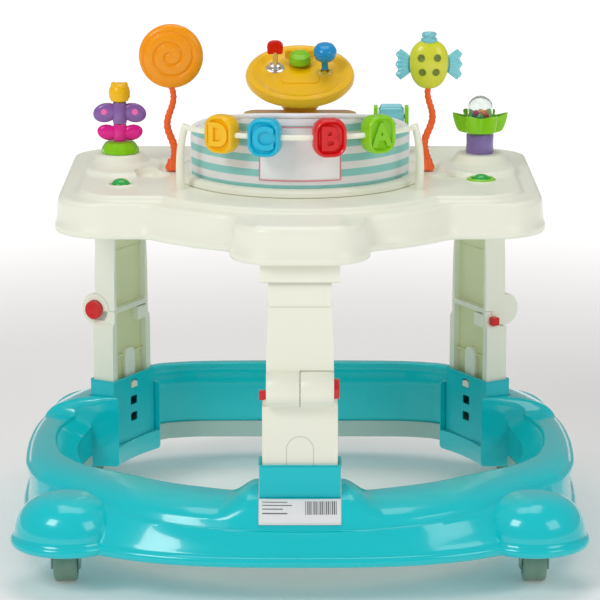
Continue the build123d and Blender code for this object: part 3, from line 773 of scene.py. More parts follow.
# half a barrel: a disc with eased edges from one place on the tangent to another
def barrelHalf(turn, start, end, radius, ease=1.6, recess=0.0):
    lowEnd, highEnd = min(start, end), max(start, end)
    profile = [(0, lowEnd), (radius - ease, lowEnd), (radius - 0.5 * ease, lowEnd + 0.15 * ease),
               (radius, lowEnd + ease), (radius, highEnd - ease),
               (radius - 0.5 * ease, highEnd - 0.15 * ease),
               (radius - ease, highEnd), (12.2, highEnd), (12.2, highEnd - recess), (0, highEnd - recess)]
    return alongTangent(turn, legShape["knee"], profile, 72)


for leg, turn in legTurns.items():
    outer, inner, knee = legShape["outer"], legShape["inner"], legShape["knee"]
    half, floor, gap = legShape["channelHalf"], legShape["channelFloor"], legShape["kneeGap"]
    # socket: a tube with a round foot, a thin rim, and three height slots in its inner wall
    outline = [(238.7, 158.0), (238.7, 74.6), (246.0, 74.6)]
    outline += [(256 + 17.3 * cos(b), 92 + 17.3 * sin(b)) for b in np.linspace(1.36 * pi, 2 * pi, 16)[1:-1]]
    outline += [(273.3, 92.0), (273.3, 156.6)]
    socketPiece = meshObject(leg + "Socket", [fromSide(turn, outline, -45.4, 45.4)], flat=True)
    hollow = [(241.3, 200.0), (241.3, 90.0), (256, 78), (270.7, 90.0), (270.7, 200.0)]
    holes = [fromOutside(turn, rectLoop(-7.2, 7.2, z - 5.2, z + 5.2, 2.0), 236, 243)
             for z in legShape["slots"]]
    cutAway(socketPiece, [fromSide(turn, hollow, -42.8, 42.8)])
    cutAway(socketPiece, holes)
    bevelEdges(socketPiece, 1.1, 3, 40)
    rimPath = (np.array([legPoints(turn, r, t, 157.4)
                         for t, r in rectLoop(-45.6, 45.6, 238.5, 273.5, 3.0, 5)]))
    lipPiece = meshObject(leg + "SocketRim", [tubed(rimPath, 0.9, 10, closed=True)])
    place(socketPiece, leg + "_foot", "turquoise", "socketTeal", leg + "_socket")
    place(lipPiece, leg + "_foot", "turquoise", "socketTeal")

    # lower link: a channel with round shoulders, and the outline of a tongue on its face, a thin darker
    # tube that paints the shadow of its cut
    shoulders = [(-42, 134.5), (42, 134.5), (42, 226), (37.5, 231), (37.5, 245), (-37.5, 245), (-37.5, 231),
                 (-42, 226)]
    loop = roundedLoop(shoulders, [1.5, 1.5, 7, 3, 0.5, 0.5, 3, 7], 6)
    lowerPiece = meshObject(leg + "LowerLink", [fromOutside(turn, loop, inner, outer)], flat=True)
    cuts = [fromOutside(turn, rectLoop(-half, half, 120, 242.5, 2.0), 230, floor)]
    tongue = [(15.0, 150.0)] + [(15.0 * cos(b), 175 + 15 * sin(b))
                                for b in np.linspace(0, pi, 25)] + [(-15.0, 150.0)]
    tongueLine = np.array([legPoints(turn, outer, t, z) for t, z in tongue])
    cuts.append(fromSide(turn, rectLoop(251, 261, 130, 140), -60, 60))
    cutAway(lowerPiece, cuts)
    cutAway(lowerPiece, [alongTangent(turn, knee, [(0, -60), (gap, -60), (gap, 0), (0, 0)], 72)])
    bevelEdges(lowerPiece, 2.2, 4, 40)
    # a liner over the channel floor and a cross rib, coloured with painted shade of the channel's inside
    inside = [fromOutside(turn, rectLoop(-half, half, 150, 242.8, 1), 249.4, 250.2)]
    inside.append(fromOutside(turn, rectLoop(-half, half, 184, 186), 245, 249.6))
    insidePiece = bevelEdges(meshObject(leg + "LowerRibs", inside, flat=True), 0.9, 2)
    # the tongue outline: a thin tube with painted shadow of a hairline cut
    tonguePiece = meshObject(leg + "TongueLine",
                             [tubed(tongueLine, 0.32, 8, side=legFrame(turn, ("out",))[0])])
    kneeLower = meshObject(leg + "LowerBarrel",
                           [barrelHalf(turn, 0.3, 37.5, legShape["barrel"], recess=5.0)])
    place(lowerPiece, leg + "_lower", "ivory", "ivory", leg + "_lower_link")
    place(insidePiece, leg + "_lower", "ivory", "ivoryPaintedShade")
    place(tonguePiece, leg + "_lower", "ivory", "grooveShadowLine")
    place(kneeLower, leg + "_lower", "ivory", "ivory")

    # upper link: the same channel, with a round head, and below the collar the sleeve band's edge as a thin
    # darker tube that paints the shadow of its seam
    bodyCorners = [(-37.5, 245.3), (37.5, 245.3), (37.2, 292), (34.8, 338), (34.8, 404), (-34.8, 404),
                   (-34.8, 338), (-37.2, 292)]
    body = roundedLoop(bodyCorners, [0.5, 0.5, 80, 80, 3, 3, 80, 80], 6)
    upperPiece = meshObject(leg + "UpperLink", [fromOutside(turn, body, inner, outer)], flat=True)
    cutAway(upperPiece, [fromOutside(turn, rectLoop(-half, half, 247.8, 384, 2.0), 230, floor)])
    cutAway(upperPiece, [alongTangent(turn, knee, [(0, 0), (gap, 0), (gap, 60), (0, 60)], 72)])
    headCut = [(235, 398), (242, 398)]
    headCut += [(256 + 14 * cos(b), 398 + 14 * sin(b)) for b in np.linspace(pi, 0, 15)]
    headCut += [(275, 398), (275, 420), (235, 420)]
    cutAway(upperPiece, [fromSide(turn, headCut, -60, 60)])
    bevelEdges(upperPiece, 2.2, 4, 40)
    kneeUpper = meshObject(leg + "UpperBarrel", [barrelHalf(turn, -0.3, -37.5, legShape["barrel"])])
    # sleeve seam: a thin tube with painted shadow of the seam's groove
    seamPath = np.array([legPoints(turn, r, t, 338.0) for t, r in
                         ((-34.9, 243), (-34.9, 266), (-33.0, 270.1), (33.0, 270.1), (34.9, 266),
                          (34.9, 243))])
    seamPiece = meshObject(leg + "SleeveSeam", [tubed(seamPath, 0.32, 8)])
    # a liner over the channel floor and a cross rib, coloured with painted shade of the channel's inside
    ribs = [fromOutside(turn, rectLoop(-half, half, 247.4, 383, 1), 249.4, 250.2)]
    ribs.append(fromOutside(turn, rectLoop(-half, half, 318, 319), 248.4, 249.6))
    ribPiece = meshObject(leg + "ChannelRibs", ribs, flat=True)
    place(upperPiece, leg + "_upper", "ivory", "ivory", leg + "_upper_link")
    place(kneeUpper, leg + "_upper", "ivory", "ivory")
    place(ribPiece, leg + "_upper", "ivory", "ivoryPaintedShade")
    place(seamPiece, leg + "_upper", "ivory", "grooveShadowLine")

    # round release button with a dished face and its shaft
    cap = [(0, 42.8), (6.5, 43.1), (9.2, 43.8), (10.6, 43.7), (11.5, 42.6), (11.5, 37.0), (5.0, 37.0),
           (5.0, -30.0), (0, -30.0)]
    addPiece(leg + "ReleaseButton", [alongTangent(turn, knee, cap, 56)], leg + "_release", "red", "red",
             leg + "_knee_button")
    latch = fromSide(turn, rectLoop(247.0, 257.0, 228.0, 238.0, 1.4, 4), -31.6, -45.6)
    addPiece(leg + "FoldLatch", [latch], leg + "_latch", "red", "red", leg + "_fold_latch", bevel=(0.8, 3))
    blockPiece = meshObject(leg + "LatchBlock",
                            [fromSide(turn, rectLoop(239.5, 262, 224.5, 241.0, 1.5), -32.6, -14.0),
                                                  fromOutside(turn, rectLoop(-11, 11, 150, 192, 9), 243.6,
                                                              249.8)], flat=True)
    place(bevelEdges(blockPiece, 1.2, 3), leg + "_lower", "ivory", "ivory")
    pegLoop = [(-6.4, 141.6), (6.4, 141.6),
               (6.4, 146.0)] + [(6.4 * cos(b), 146 + 4.4 * sin(b)) for b in np.linspace(0, pi, 13)]
    addPiece(leg + "HeightPeg", [fromOutside(turn, pegLoop + [(-6.4, 146.0)], 237.6, 258)], leg + "_peg",
             "turquoise", "ivory", leg + "_height_peg", flat=True, bevel=(0.8, 2))
print("legs ready")

# tray: heights above the floor
trayShape = {"steps": 720, "hole": 133.0, "deck": 434.0, "mound": 449.0, "tier": 5.0, "underside": 422.5,
             "moundX": 216.0, "moundY": 62.0}


def roundRectDistance(x, y, cx, cy, halfX, halfY, radius):
    qx, qy = np.abs(x - cx) - halfX + radius, np.abs(y - cy) - halfY + radius
    return np.hypot(np.maximum(qx, 0), np.maximum(qy, 0)) + np.minimum(np.maximum(qx, qy), 0) - radius


# smooth union of two distances: min blended over a width k
def softMin(a, b, k):
    h = np.clip(0.5 + 0.5 * (b - a) / k, 0, 1)
    return b * (1 - h) + a * h - k * h * (1 - h)


def trayDistance(x, y):
    lobes = softMin(np.hypot(x, y) - 230, roundRectDistance(x, y, 0, 32, 283, 184, 62), 10)
    return softMin(lobes, roundRectDistance(x, y, 0, -200, 78, 88, 50), 12)


def deckDistance(x, y):
    return np.minimum(np.hypot(x, y) - 205, roundRectDistance(x, y, 0, 30, 256, 162, 55))


# radius along each azimuth at which a distance reaches a level, by halving
def radiusAt(distance, angle, level):
    low, high = np.full(angle.shape, 100.0), np.full(angle.shape, 420.0)
    for _ in range(36):
        mid = (low + high) / 2
        outside = distance(mid * np.cos(angle), mid * np.sin(angle)) > level
        low, high = np.where(outside, low, mid), np.where(outside, mid, high)
    return (low + high) / 2


# top of the tray: deck height + side tiers + mounds - bowls + a shallow pad on the front lobe
def trayRelief(x, y, z):
    for cx in (-212.0, 212.0):
        tier = np.hypot((x - cx) / 50, (y - 44) / 66)
        z = z + trayShape["tier"] * (1 - smoothStep(tier, 0.9, 1.02)) * (z > 431)
    rise = trayShape["mound"] - trayShape["deck"] - trayShape["tier"]
    for cx in (-trayShape["moundX"], trayShape["moundX"]):
        d = np.hypot(x - cx, y - trayShape["moundY"])
        z = z + rise * (1 - smoothStep(d, 26, 35)) * (z > 431)
    for cx, cy, radius, depth in ((-174, -4, 20.0, 12.0), (168, -12, 14.0, 10.0)):
        d = np.hypot(x - cx, y - cy)
        z = z - depth * np.sqrt(np.clip(1 - (d / radius) ** 2, 0, 1)) * (z > 431)
        z = z + 1.2 * np.exp(-((d - radius - 1.5) / 1.6) ** 2) * (z > 431)
    for cx, cy in ((-208.0, -62.0), (212.0, -34.0)):
        d = np.hypot(x - cx, y - cy)
        z = z + 2.0 * np.exp(-((d - 15.0) / 2.4) ** 2) * (z > 431)
        z = z - 6 * (1 - smoothStep(d, 11.0, 12.2)) * (z > 431)
    pad = np.maximum(np.abs(x) / 52, np.abs(y + 247) / 34)
    return z + 1.8 * (1 - smoothStep(pad, 0.88, 1.02)) * (z > 426) * (y < -205)


def trayPoints(c):
    a = fullTurn(c["steps"])
    outer = {d: radiusAt(trayDistance, a, -d) for d in (0.0, 1.5, 3.0, 6.0, 10.0)}
    deck = {d: radiusAt(deckDistance, a, -d) for d in (0.0, 2.0, 6.0)}
    flat = 0 * a
    hole, level = c["hole"], c["deck"]
    rows = [(hole + flat, 430.0), (hole + 0.8 + flat, 432.6), (hole + 2.5 + flat, level)]
    for u in np.linspace(0.02, 1, 46):
        rows.append((hole + 2.5 + (deck[6.0] - hole - 2.5) * u, level))
    rows += [(deck[2.0] - 1.6, 433.8), (deck[2.0], 433.2), (deck[0.0] - 0.6, 432.0),
             (deck[0.0] + 0.4, 430.4), (deck[0.0] + 2.0, 429.3), (deck[0.0] + 4.0, 428.6)]
    reach = np.maximum(outer[10.0], deck[0.0] + 6.0)
    for u in np.linspace(0.12, 1, 16):
        rows.append((deck[0.0] + 4 + (reach - deck[0.0] - 4) * u, 428.3))
    rows += [(np.maximum(outer[6.0], reach + 1), 427.4), (np.maximum(outer[6.0] + 1.8, reach + 2), 424.8),
             (outer[6.0] + 2.4, 420.0), (outer[3.0], 408.0), (outer[1.5], 397.8), (outer[0.0] - 0.2, 396.0),
             (outer[0.0], 393.0),
             (outer[0.0] - 0.4, 389.6), (outer[1.5], 388.0), (outer[3.0], 388.6), (outer[3.0] - 1, 392.0),
             (outer[6.0], 418.0)]
    for u in np.linspace(0.06, 1, 9):
        rows.append((outer[6.0] - 3 + (hole + 6 - outer[6.0] + 3) * u, c["underside"]))
    rows += [(hole + 5 + flat, 408.0), (hole + 4 + flat, 404.5), (hole + 1 + flat, 404.5),
             (hole + flat, 408.0)]
    r = np.stack([row[0] for row in rows], 1)
    z = np.stack([np.full(a.shape, row[1]) for row in rows], 1)
    x, y = r * np.cos(a)[:, None], r * np.sin(a)[:, None]
    topRows = len(rows) - 25  # the rows below the rim stay as they are
    lifted = trayRelief(x[:, :topRows], y[:, :topRows], z[:, :topRows])
    z = np.concatenate([lifted, z[:, topRows:]], 1)
    return np.stack([x, y, z], -1)


addPiece("trayTop", [gridPart(trayPoints(trayShape), True, True)], "tray", "ivory", "ivory", "tray_shell",
         sharp=60)
for leg, turn in legTurns.items():
    outline = roundedLoop([(236, 366), (276, 366), (276, 424), (236, 424)], [3, 3, 1, 1])
    collar = meshObject(leg + "Collar", [fromSide(turn, outline, -44, 44)], flat=True)
    cutAway(collar, [fromSide(turn, rectLoop(230, 272.6, 360, 421), -38.3, 38.3)])
    bevelEdges(collar, 1.6, 3, 40)
    place(collar, "tray", "ivory", "ivory")
print("tray ready")

# seat ring: a profile turned about the middle
seatProfile = [(126.0, 442.4), (126.0, 405.0), (126.8, 404.0), (131.6, 404.0), (132.4, 405.0),
               (132.4, 434.4),
               (145.0, 434.4), (146.0, 435.4), (145.6, 439.6), (143.0, 442.0), (138.0, 442.6),
               (129.0, 442.4), (127.0, 443.4), (126.0, 442.4)]
seatPiece = meshObject("seatRing", [revolved(seatProfile, steps=240)])
place(seatPiece, "seat", "ivory", "ivory", "seat_ring")

backShape = {"radius": 130.0, "halfThick": 3.2, "bottom": 441.0, "top": 526.0, "endDrop": 30.0,
             "ends": 74.0, "cap": 0.0006}


def backTop(side):
    return backShape["top"] - backShape["endDrop"] * np.abs(side) ** 2.4


# padded back: point = (radius cos a, radius sin a, z), thickness tapering to the edges
def backPoints(c, rows=24, columns=90):
    side = np.linspace(-1, 1, columns)
    a = radians(-90) + side * radians(c["ends"])
    u = np.linspace(0, 1, rows)[:, None]
    z = c["bottom"] + (backTop(side)[None] - c["bottom"]) * u
    thick = c["halfThick"] * (0.8 + 0.2 * np.sin(pi * np.clip(u, 0.02, 0.98)) ** 0.4)
    layers = []
    for face in (1, -1):
        r = c["radius"] + face * thick + 0 * a[None]
        layers.append(polar(r, a, z + 0 * r))
    return np.concatenate([layers[0], layers[1][::-1]])


# pads a shape: voxel remesh, pressure simulation, then a cap on how far a point moved
def puffUp(thing, cap, voxel=0.0045, pressure=4.0):
    remesh = thing.modifiers.new("evenMesh", "REMESH")
    remesh.mode = "VOXEL"
    remesh.voxel_size = voxel
    applyModifiers(thing)
    count = len(thing.data.vertices)
    start = np.zeros(count * 3, np.float32)
    thing.data.vertices.foreach_get("co", start)
    cloth = thing.modifiers.new("cloth", "CLOTH")
    cloth.settings.use_pressure = True
    cloth.settings.uniform_pressure_force = pressure
    cloth.settings.effector_weights.gravity = 0
    cloth.point_cache.frame_start, cloth.point_cache.frame_end = 1, 20
    for step in range(1, 21):
        bpy.context.scene.frame_set(step)
    applyModifiers(thing)
    bpy.context.scene.frame_set(1)
    end = np.zeros(count * 3, np.float32)
    thing.data.vertices.foreach_get("co", end)
    move = (end - start).reshape(-1, 3)
    length = np.linalg.norm(move, axis=1, keepdims=True)
    move = move * np.minimum(1, cap / np.maximum(length, 1e-9))
    thing.data.vertices.foreach_set("co", (start.reshape(-1, 3) + move).ravel())
    thing.data.update()
    return thing


# lays a UV map in metres from each point: s = distance round the seat, v = height
def clothMap(thing):
    count = len(thing.data.vertices)
    co = np.zeros(count * 3, np.float32)
    thing.data.vertices.foreach_get("co", co)
    co = co.reshape(-1, 3)
    s = np.arctan2(co[:, 0], -co[:, 1]) * np.hypot(co[:, 0], co[:, 1])
    v = co[:, 2]
    layer = thing.data.uv_layers.active or thing.data.uv_layers.new(name="UVMap")
    corner = np.zeros(len(thing.data.loops), int)
    thing.data.loops.foreach_get("vertex_index", corner)
    layer.data.foreach_set("uv", np.stack([s, v], -1)[corner].astype(np.float32).ravel())
    return thing


backPiece = meshObject("backrestPad", [gridPart(backPoints(backShape), True, False)])
work = bmesh.new()
work.from_mesh(backPiece.data)
bmesh.ops.holes_fill(work, edges=[e for e in work.edges if e.is_boundary], sides=0)
bmesh.ops.recalc_face_normals(work, faces=work.faces)
work.to_mesh(backPiece.data)
work.free()
puffUp(backPiece, backShape["cap"])
clothMap(backPiece)
backPiece.data.polygons.foreach_set("use_smooth", np.full(len(backPiece.data.polygons), True))
subdivide(backPiece)
place(backPiece, "seat", "striped_cloth", "striped_cloth", "backrest")

# binding: a soft tape over the top edge and down both ends
side = np.linspace(-1, 1, 120)
a = radians(-90) + side * radians(backShape["ends"])
topPath = np.stack([backShape["radius"] * np.cos(a), backShape["radius"] * np.sin(a), backTop(side) + 0.4],
                   -1)
downLeft = topPath[0] + np.linspace(1, 0.05,
                                    8)[:, None] * np.array([0, 0, backShape["bottom"] - topPath[0, 2]])
downRight = topPath[-1] + np.linspace(0.05, 1,
                                      8)[:, None] * np.array([0, 0, backShape["bottom"] - topPath[-1, 2]])
bindPath = np.concatenate([downLeft, topPath, downRight])
bindPiece = meshObject("backrestBinding", [tubed(bindPath, 3.0, 12, side=(0.01, -1, 0.02))])
clothMap(bindPiece)
place(bindPiece, "seat", "striped_cloth", "whiteCloth")

# blank sewn patch on the outer face, with a stitched rim
patchShape = {"halfWidth": 47.0, "low": 452.0, "high": 514.0, "radius": 134.0}
s, z = pairs(np.linspace(-1, 1, 44), np.linspace(0, 1, 20))
angle = radians(-90) + s * patchShape["halfWidth"] / patchShape["radius"]
bulge = 0.4 * (1 - s ** 2) * np.sin(pi * z) ** 0.5
r = patchShape["radius"] + bulge
patchGrid = np.stack([r * np.cos(angle), r * np.sin(angle),
                      patchShape["low"] + (patchShape["high"] - patchShape["low"]) * z], -1)
patchPiece = meshObject("blankPatch", [gridPart(patchGrid)], turnOut=False)
patchPiece.modifiers.new("cloth", "SOLIDIFY").thickness = 0.9 * mm
clothMap(patchPiece)
place(patchPiece, "seat", "striped_cloth", "whiteCloth")
rim = np.concatenate([patchGrid[:, 0], patchGrid[-1, :], patchGrid[::-1, -1], patchGrid[0, ::-1]])
rimPath = rim[np.concatenate([[True], np.linalg.norm(np.diff(rim, axis=0), axis=1) > 0.5])][:-1]
rimPiece = meshObject("patchPiping",
                      [tubed(rimPath * np.array([1.002, 1.002, 1]), 0.6, 8, closed=True,
                             side=(0.02, -1, 0.03))])
clothMap(rimPiece)
place(rimPiece, "seat", "striped_cloth", "pinkCloth")

# sling: a cloth bowl hung from the ring, cut out for two legs
slingShape = {"hang": 438.0, "legX": 52, "legY": 42, "legRadius": 33}
u = np.linspace(0, 1, 46)
slingR = np.where(u < 0.45, 84 * (u / 0.45), 84 + 40.6 * np.clip((u - 0.45) / 0.28, 0, 1))
slingZ = 353.5 + 3 * (slingR / 84) ** 2 * (u < 0.45) + (u >= 0.45) * (3 + 48
                                                                      * np.clip((u - 0.45) / 0.28, 0,
                                                                                1) ** 1.2)
slingZ = slingZ + np.clip((u - 0.73) / 0.27, 0, 1) * (slingShape["hang"] - 404.5)
a = fullTurn(180)
slack = 1.4 * np.sin(5 * a)[:, None] * np.sin(pi * u)[None] ** 2
r, z = slingR[None] + 0 * a[:, None], slingZ[None] + slack
slingGrid = np.stack([r * np.cos(a)[:, None], r * np.sin(a)[:, None], z], -1)
slingPiece = meshObject("seatSling", [gridPart(slingGrid, True, False)])
work = bmesh.new()
work.from_mesh(slingPiece.data)
legHoles = (-slingShape["legX"], slingShape["legX"])
holes = [f for f in work.faces
         if min((f.calc_center_median().xy - Vector((x * mm, slingShape["legY"] * mm))).length
                for x in legHoles)
         < slingShape["legRadius"] * mm and f.calc_center_median().z < 0.40]
bmesh.ops.delete(work, geom=holes, context="FACES")
work.to_mesh(slingPiece.data)
work.free()
clothMap(slingPiece)
slingThick = slingPiece.modifiers.new("cloth", "SOLIDIFY")
slingThick.thickness = 1.4 * mm
slingThick.offset = 0
place(slingPiece, "seat", "sling_cloth", "striped_cloth", "seat_sling")
hemR = slingShape["legRadius"] + 0.4
hemRings = [np.stack([x + hemR * np.cos(a), slingShape["legY"] + hemR * np.sin(a), 0 * a], -1)
            for x in legHoles]
for ring in hemRings:
    ringR = np.hypot(ring[:, 0], ring[:, 1])
    ring[:, 2] = np.interp(ringR, slingR, slingZ)
hemPiece = meshObject("legHems", [tubed(ring, 2.2, 10, closed=True) for ring in hemRings])
clothMap(hemPiece)
place(hemPiece, "seat", "sling_cloth", "whiteCloth")

# bead hoop: the rod's radius and height, the angle left open at each end, and the beads
hoopShape = {"radius": 158.0, "rod": 506.0, "end": 34.0, "beads": ("bead_d", "bead_c", "bead_b", "bead_a"),
             "letters": {"bead_d": "D", "bead_c": "C", "bead_b": "B", "bead_a": "A"},
             "colours": {"bead_d": "yellow", "bead_c": "cyan", "bead_b": "red", "bead_a": "lime"}}
a = np.radians(np.linspace(180 + hoopShape["end"], 360 - hoopShape["end"], 90))
rod = np.stack([hoopShape["radius"] * np.cos(a), hoopShape["radius"] * np.sin(a), hoopShape["rod"] + 0 * a],
               -1)
hoopParts = [tubed(rod, 3.2, 16)]
# posts: x bows outward by up to 8 near the foot and comes in to the rod at the top
for end in (rod[0], rod[-1]):
    rise = np.linspace(0, 1, 26)
    lean = np.sign(end[0]) * 8.0 * (1 - rise ** 3) * (1 - 0.25 * (1 - rise) ** 2)
    postPath = np.stack([end[0] + lean, end[1] + 0 * rise, 433.5 + 76.0 * rise], -1)
    hoopParts.append(tubed(postPath, 5.4 - 1.3 * rise, 18, side=(0, -1, 0)))
    hoopParts.append(tubed(np.stack([end + (0, 0, dz) for dz in (-3.4, -1.5, 1.5, 3.4)]),
                           (3.0, 5.2, 5.2, 3.0), 18, side=(0, -1, 0)))
addPiece("beadHoop", hoopParts, "tray", "ivory", "ivory", "bead_hoop")


# text as a mesh, laid on a plane; its width and height are in millimetres
def letterMesh(name, text, height, thick, origin, across, up):
    curve = bpy.data.curves.new(name, "FONT")
    curve.body = text
    curve.align_x, curve.align_y = "CENTER", "CENTER"
    curve.size, curve.extrude, curve.bevel_depth, curve.bevel_resolution = 1.0, 0.04, 0.012, 2
    curve.offset = 0.03
    source = bpy.data.objects.new(name, curve)
    mesh = bpy.data.meshes.new_from_object(source)
    bpy.data.objects.remove(source)
    co = np.zeros(len(mesh.vertices) * 3, np.float32)
    mesh.vertices.foreach_get("co", co)
    co = co.reshape(-1, 3).astype(float)
    low, high = co.min(0), co.max(0)
    co = (co - (low + high) / 2) / (high[1] - low[1]) * height
    co[:, 2] *= thick / max(co[:, 2].max() - co[:, 2].min(), 1e-6)
    facing = np.cross(across, up)
    placed = np.asarray(origin) + co[:, :1] * across + co[:, 1:2] * up + co[:, 2:] * facing
    mesh.vertices.foreach_set("co", (placed * mm).astype(np.float32).ravel())
    thing = bpy.data.objects.new(name, mesh)
    bpy.context.collection.objects.link(thing)
    mesh.polygons.foreach_set("use_smooth", np.full(len(mesh.polygons), False))
    return thing


# bead: a rounded plate with a raised rim on both faces and an embossed letter
def beadPart(centre, basis, halfW, halfH, halfT, corner):
    layers = []
    loop = rectLoop(-halfW, halfW, -halfH, halfH, corner, 12)
    for inset, z in ((22, 0.56), (6.4, 0.56), (5.4, 0.6), (4.9, 0.74), (3.9, 0.9), (2.6, 1.0), (1.1, 0.9),
                     (0.3, 0.62), (0, 0.2)):
        scale = np.maximum(1 - inset / np.array([halfW, halfH]), 0.0)
        layers.append(np.concatenate([loop * scale, np.full((len(loop), 1), z * halfT)], 1))
    layers += [np.concatenate([layer[:, :2], -layer[:, 2:]], 1) for layer in layers[::-1]]
    return gridPart(np.array(layers) @ basis + centre, False, True, caps=(0, len(layers) - 1))


for bead in hoopShape["beads"]:
    centre = middleOf(bead)
    turn = np.degrees(np.arctan2(centre[1], centre[0]))
    out = legFrame(turn, ("out",))[0]
    centre = out * hoopShape["radius"] + np.array([0, 0, centre[2]])
    across = legFrame(turn, ("side",))[0]
    basis = np.array([across, (0, 0, 1), out])
    beadPiece = meshObject(bead + "Plate", [beadPart(centre, basis, 19.0, 22.0, 10.0, 14.5)], sharp=60)
    colour = hoopShape["colours"][bead]
    place(beadPiece, bead, colour, colour, bead)
    for side in (1, -1):
        letter = letterMesh(bead + ("Front" if side > 0 else "Back"), hoopShape["letters"][bead], 28.0, 4.2,
                            centre + out * side * 6.6, across * side, np.array([0, 0, 1.0]))
        place(letter, bead, colour, colour)
print("beads ready")


# springy stalk: a tube whose path waves gently and grows thinner upward
def stalkPiece(name, body, place2d, top, phase, node):
    z = np.linspace(438, top, 90)
    u = (z - 438) / (top - 438)
    x = place2d[0] + 5.2 * np.sin(2 * pi * 1.35 * u + phase) * np.sin(pi * np.clip(u * 1.06, 0, 1)) ** 0.6
    path = np.stack([x, place2d[1] + 0 * z, z], -1)
    radius = 4.9 - 1.5 * u + 0.35 * np.sin(2 * pi * z / 6.0)
    foot = [(0, 435.2), (6.4, 435.2), (8.2, 437.5), (8.0, 440.5), (6.0, 444.0), (4.8, 449.0), (0, 449)]
    piece = meshObject(name, [tubed(path, radius, 18, side=(0, -1, 0)), revolved(foot, (*place2d, 0), 36)])
    return place(piece, body, "orange", "orange", node)


stalkPiece("lollipopStalk", "lollipop", (-152.0, 20.0), 541.0, 0.3, "lollipop_stalk")
stalkPiece("fishStalk", "fish", (152.0, 22.0), 540.0, 2.6, "fish_stalk")

# lollipop: a disc with domed rim; a spiral groove z -= depth where radius meets a + b * angle
lolly = {"centre": middleOf("lollipop_disc"), "radius": 38.0, "halfThick": 9.0, "turns": 2.6, "groove": 1.7}
r, a = pairs(np.linspace(0.4, lolly["radius"] - 1.6, 76), fullTurn(240))
pitch = 34.0 / lolly["turns"]
phase = (r - a / (2 * pi) * pitch) / pitch
near = np.abs(phase - np.round(phase)) * pitch
groove = lolly["groove"] * np.exp(-(near / 1.5) ** 2) * smoothStep(r, 2, 5) * (1 - smoothStep(r, 33, 35.5))
bulge = 0.82 + 0.18 * np.cos(r / lolly["radius"] * pi / 2)
crown = lolly["halfThick"] * bulge * np.clip(1 - (r / 38.05) ** 9, 0, 1) ** 0.5
level = crown - groove
front = np.stack([r * np.cos(a), -level, r * np.sin(a)], -1)
back = np.stack([r * np.cos(a), level, r * np.sin(a)], -1)[::-1]
edgeR = 36.4 + 1.6 * np.sin(np.linspace(0, pi, 9))[1:-1]
edgeY = np.linspace(-1, 1, 9)[1:-1] * level[-1, 0] * 0.98
edgeA = a[0]
edge = np.stack([edgeR[:, None] * np.cos(edgeA), edgeY[:, None] + 0 * edgeA,
                 edgeR[:, None] * np.sin(edgeA)], -1)
addPiece("lollipopDisc", [gridPart(np.concatenate([front, edge, back]) + lolly["centre"], False, True,
                                   caps=(0, -1))], "lollipop", "amber", "amber", "lollipop_disc", sharp=60)

# fish: a swelling body on end, pursed lips, and ribbed side fins
fishShape = {"centre": middleOf("fish_body"), "halfX": 23.5, "halfY": 13.0, "halfZ": 29.0}
fc = fishShape["centre"]
v, a = pairs(np.linspace(-pi / 2, pi / 2, 60), fullTurn(96))
width = np.cos(v) ** 0.8 * (1 + 0.06 * np.sin(v))
body = np.stack([fishShape["halfX"] * width * np.cos(a), fishShape["halfY"] * width * np.sin(a),
                 fishShape["halfZ"] * np.sin(v)], -1)
fishPiece = meshObject("fishBody", [gridPart(body + fc, False, True)])
dots = []
for dx, dz in ((-9.5, 9.0), (9.5, 9.0), (-8.0, -8.0), (8.0, -8.0)):
    lift = dz / 29.0
    spread = (1 - lift ** 2) ** 0.4 * (1 + 0.06 * lift)
    depthY = fishShape["halfY"] * np.sqrt(spread ** 2 - (dx / 23.5) ** 2)
    for face in (-1, 1):
        eye = [(0, 0.5), (2.7, 0.4), (3.2, 0.7), (3.8, 0.8), (4.5, 0.2), (4.6, -2.5)]
        facing = (dx / 552.0, face * depthY / 169.0, dz / 841.0)
        dots.append(revolved(eye, fc + np.array([dx, face * depthY, dz]), 24, basisAlong(facing)))
dotPiece = meshObject("fishSpots", dots)
place(fishPiece, "fish", "fish_yellow", "fish_yellow", "fish_body")
place(dotPiece, "fish", "fish_yellow", "spotGreen")
lipParts = []
for level, radius in ((fc[2] + 28.5, 6.6), (fc[2] + 35.0, 5.6)):
    ring = np.stack([fc[0] + radius * np.cos(a[0]), fc[1] + radius * 0.8 * np.sin(a[0]), level + 0 * a[0]],
                    -1)
    lipParts.append(tubed(ring, 3.3, 14, closed=True))
lipParts.append(revolved([(0, 24), (7.5, 24), (7.0, 34), (0, 36)], fc, 32))
lipPiece = meshObject("fishLips", lipParts)
place(lipPiece, "fish", "ice_blue", "ice_blue", "fish_fins")
fins, roots = [], []
for side in (-1, 1):
    s, u = pairs(np.linspace(-1, 1, 49), np.linspace(0, 1, 20))
    reach = 17.5 + 1.5 * np.cos(3 * pi * s) - 3.0 * s ** 4
    ripple = 1.1 * np.sin(s * 20) * u
    x = side * (20.5 + reach * u)
    z = s * (8.0 + 10.5 * u ** 0.8)
    for face in (-1, 1):
        thick = 2.6 * np.sqrt(np.clip(1 - u ** 3, 0, 1)) * np.sqrt(np.clip(1 - s ** 6, 0.0, 1))
        fins.append(gridPart(np.stack([x, face * thick + ripple * 0.5, z], -1) + fc))
    rootArc = np.linspace(-0.34, 0.34, 24)
    path = np.stack([side * (23.2 * np.cos(rootArc)) + 0 * rootArc, 0 * rootArc, 25.5 * np.sin(rootArc)],
                    -1) + fc
    roots.append(tubed(path, 3.0, 12, side=(0, 1, 0)))
finPiece = meshObject("fishFinFans", fins)
rootPiece = meshObject("fishFinRoots", roots)
place(finPiece, "fish", "ice_blue", "ice_blue")
place(rootPiece, "fish", "ice_blue", "finTeal")
print("stalk toys ready")

# butterfly: where its stem stands
flyAt = np.array([-trayShape["moundX"], trayShape["moundY"], 0.0])


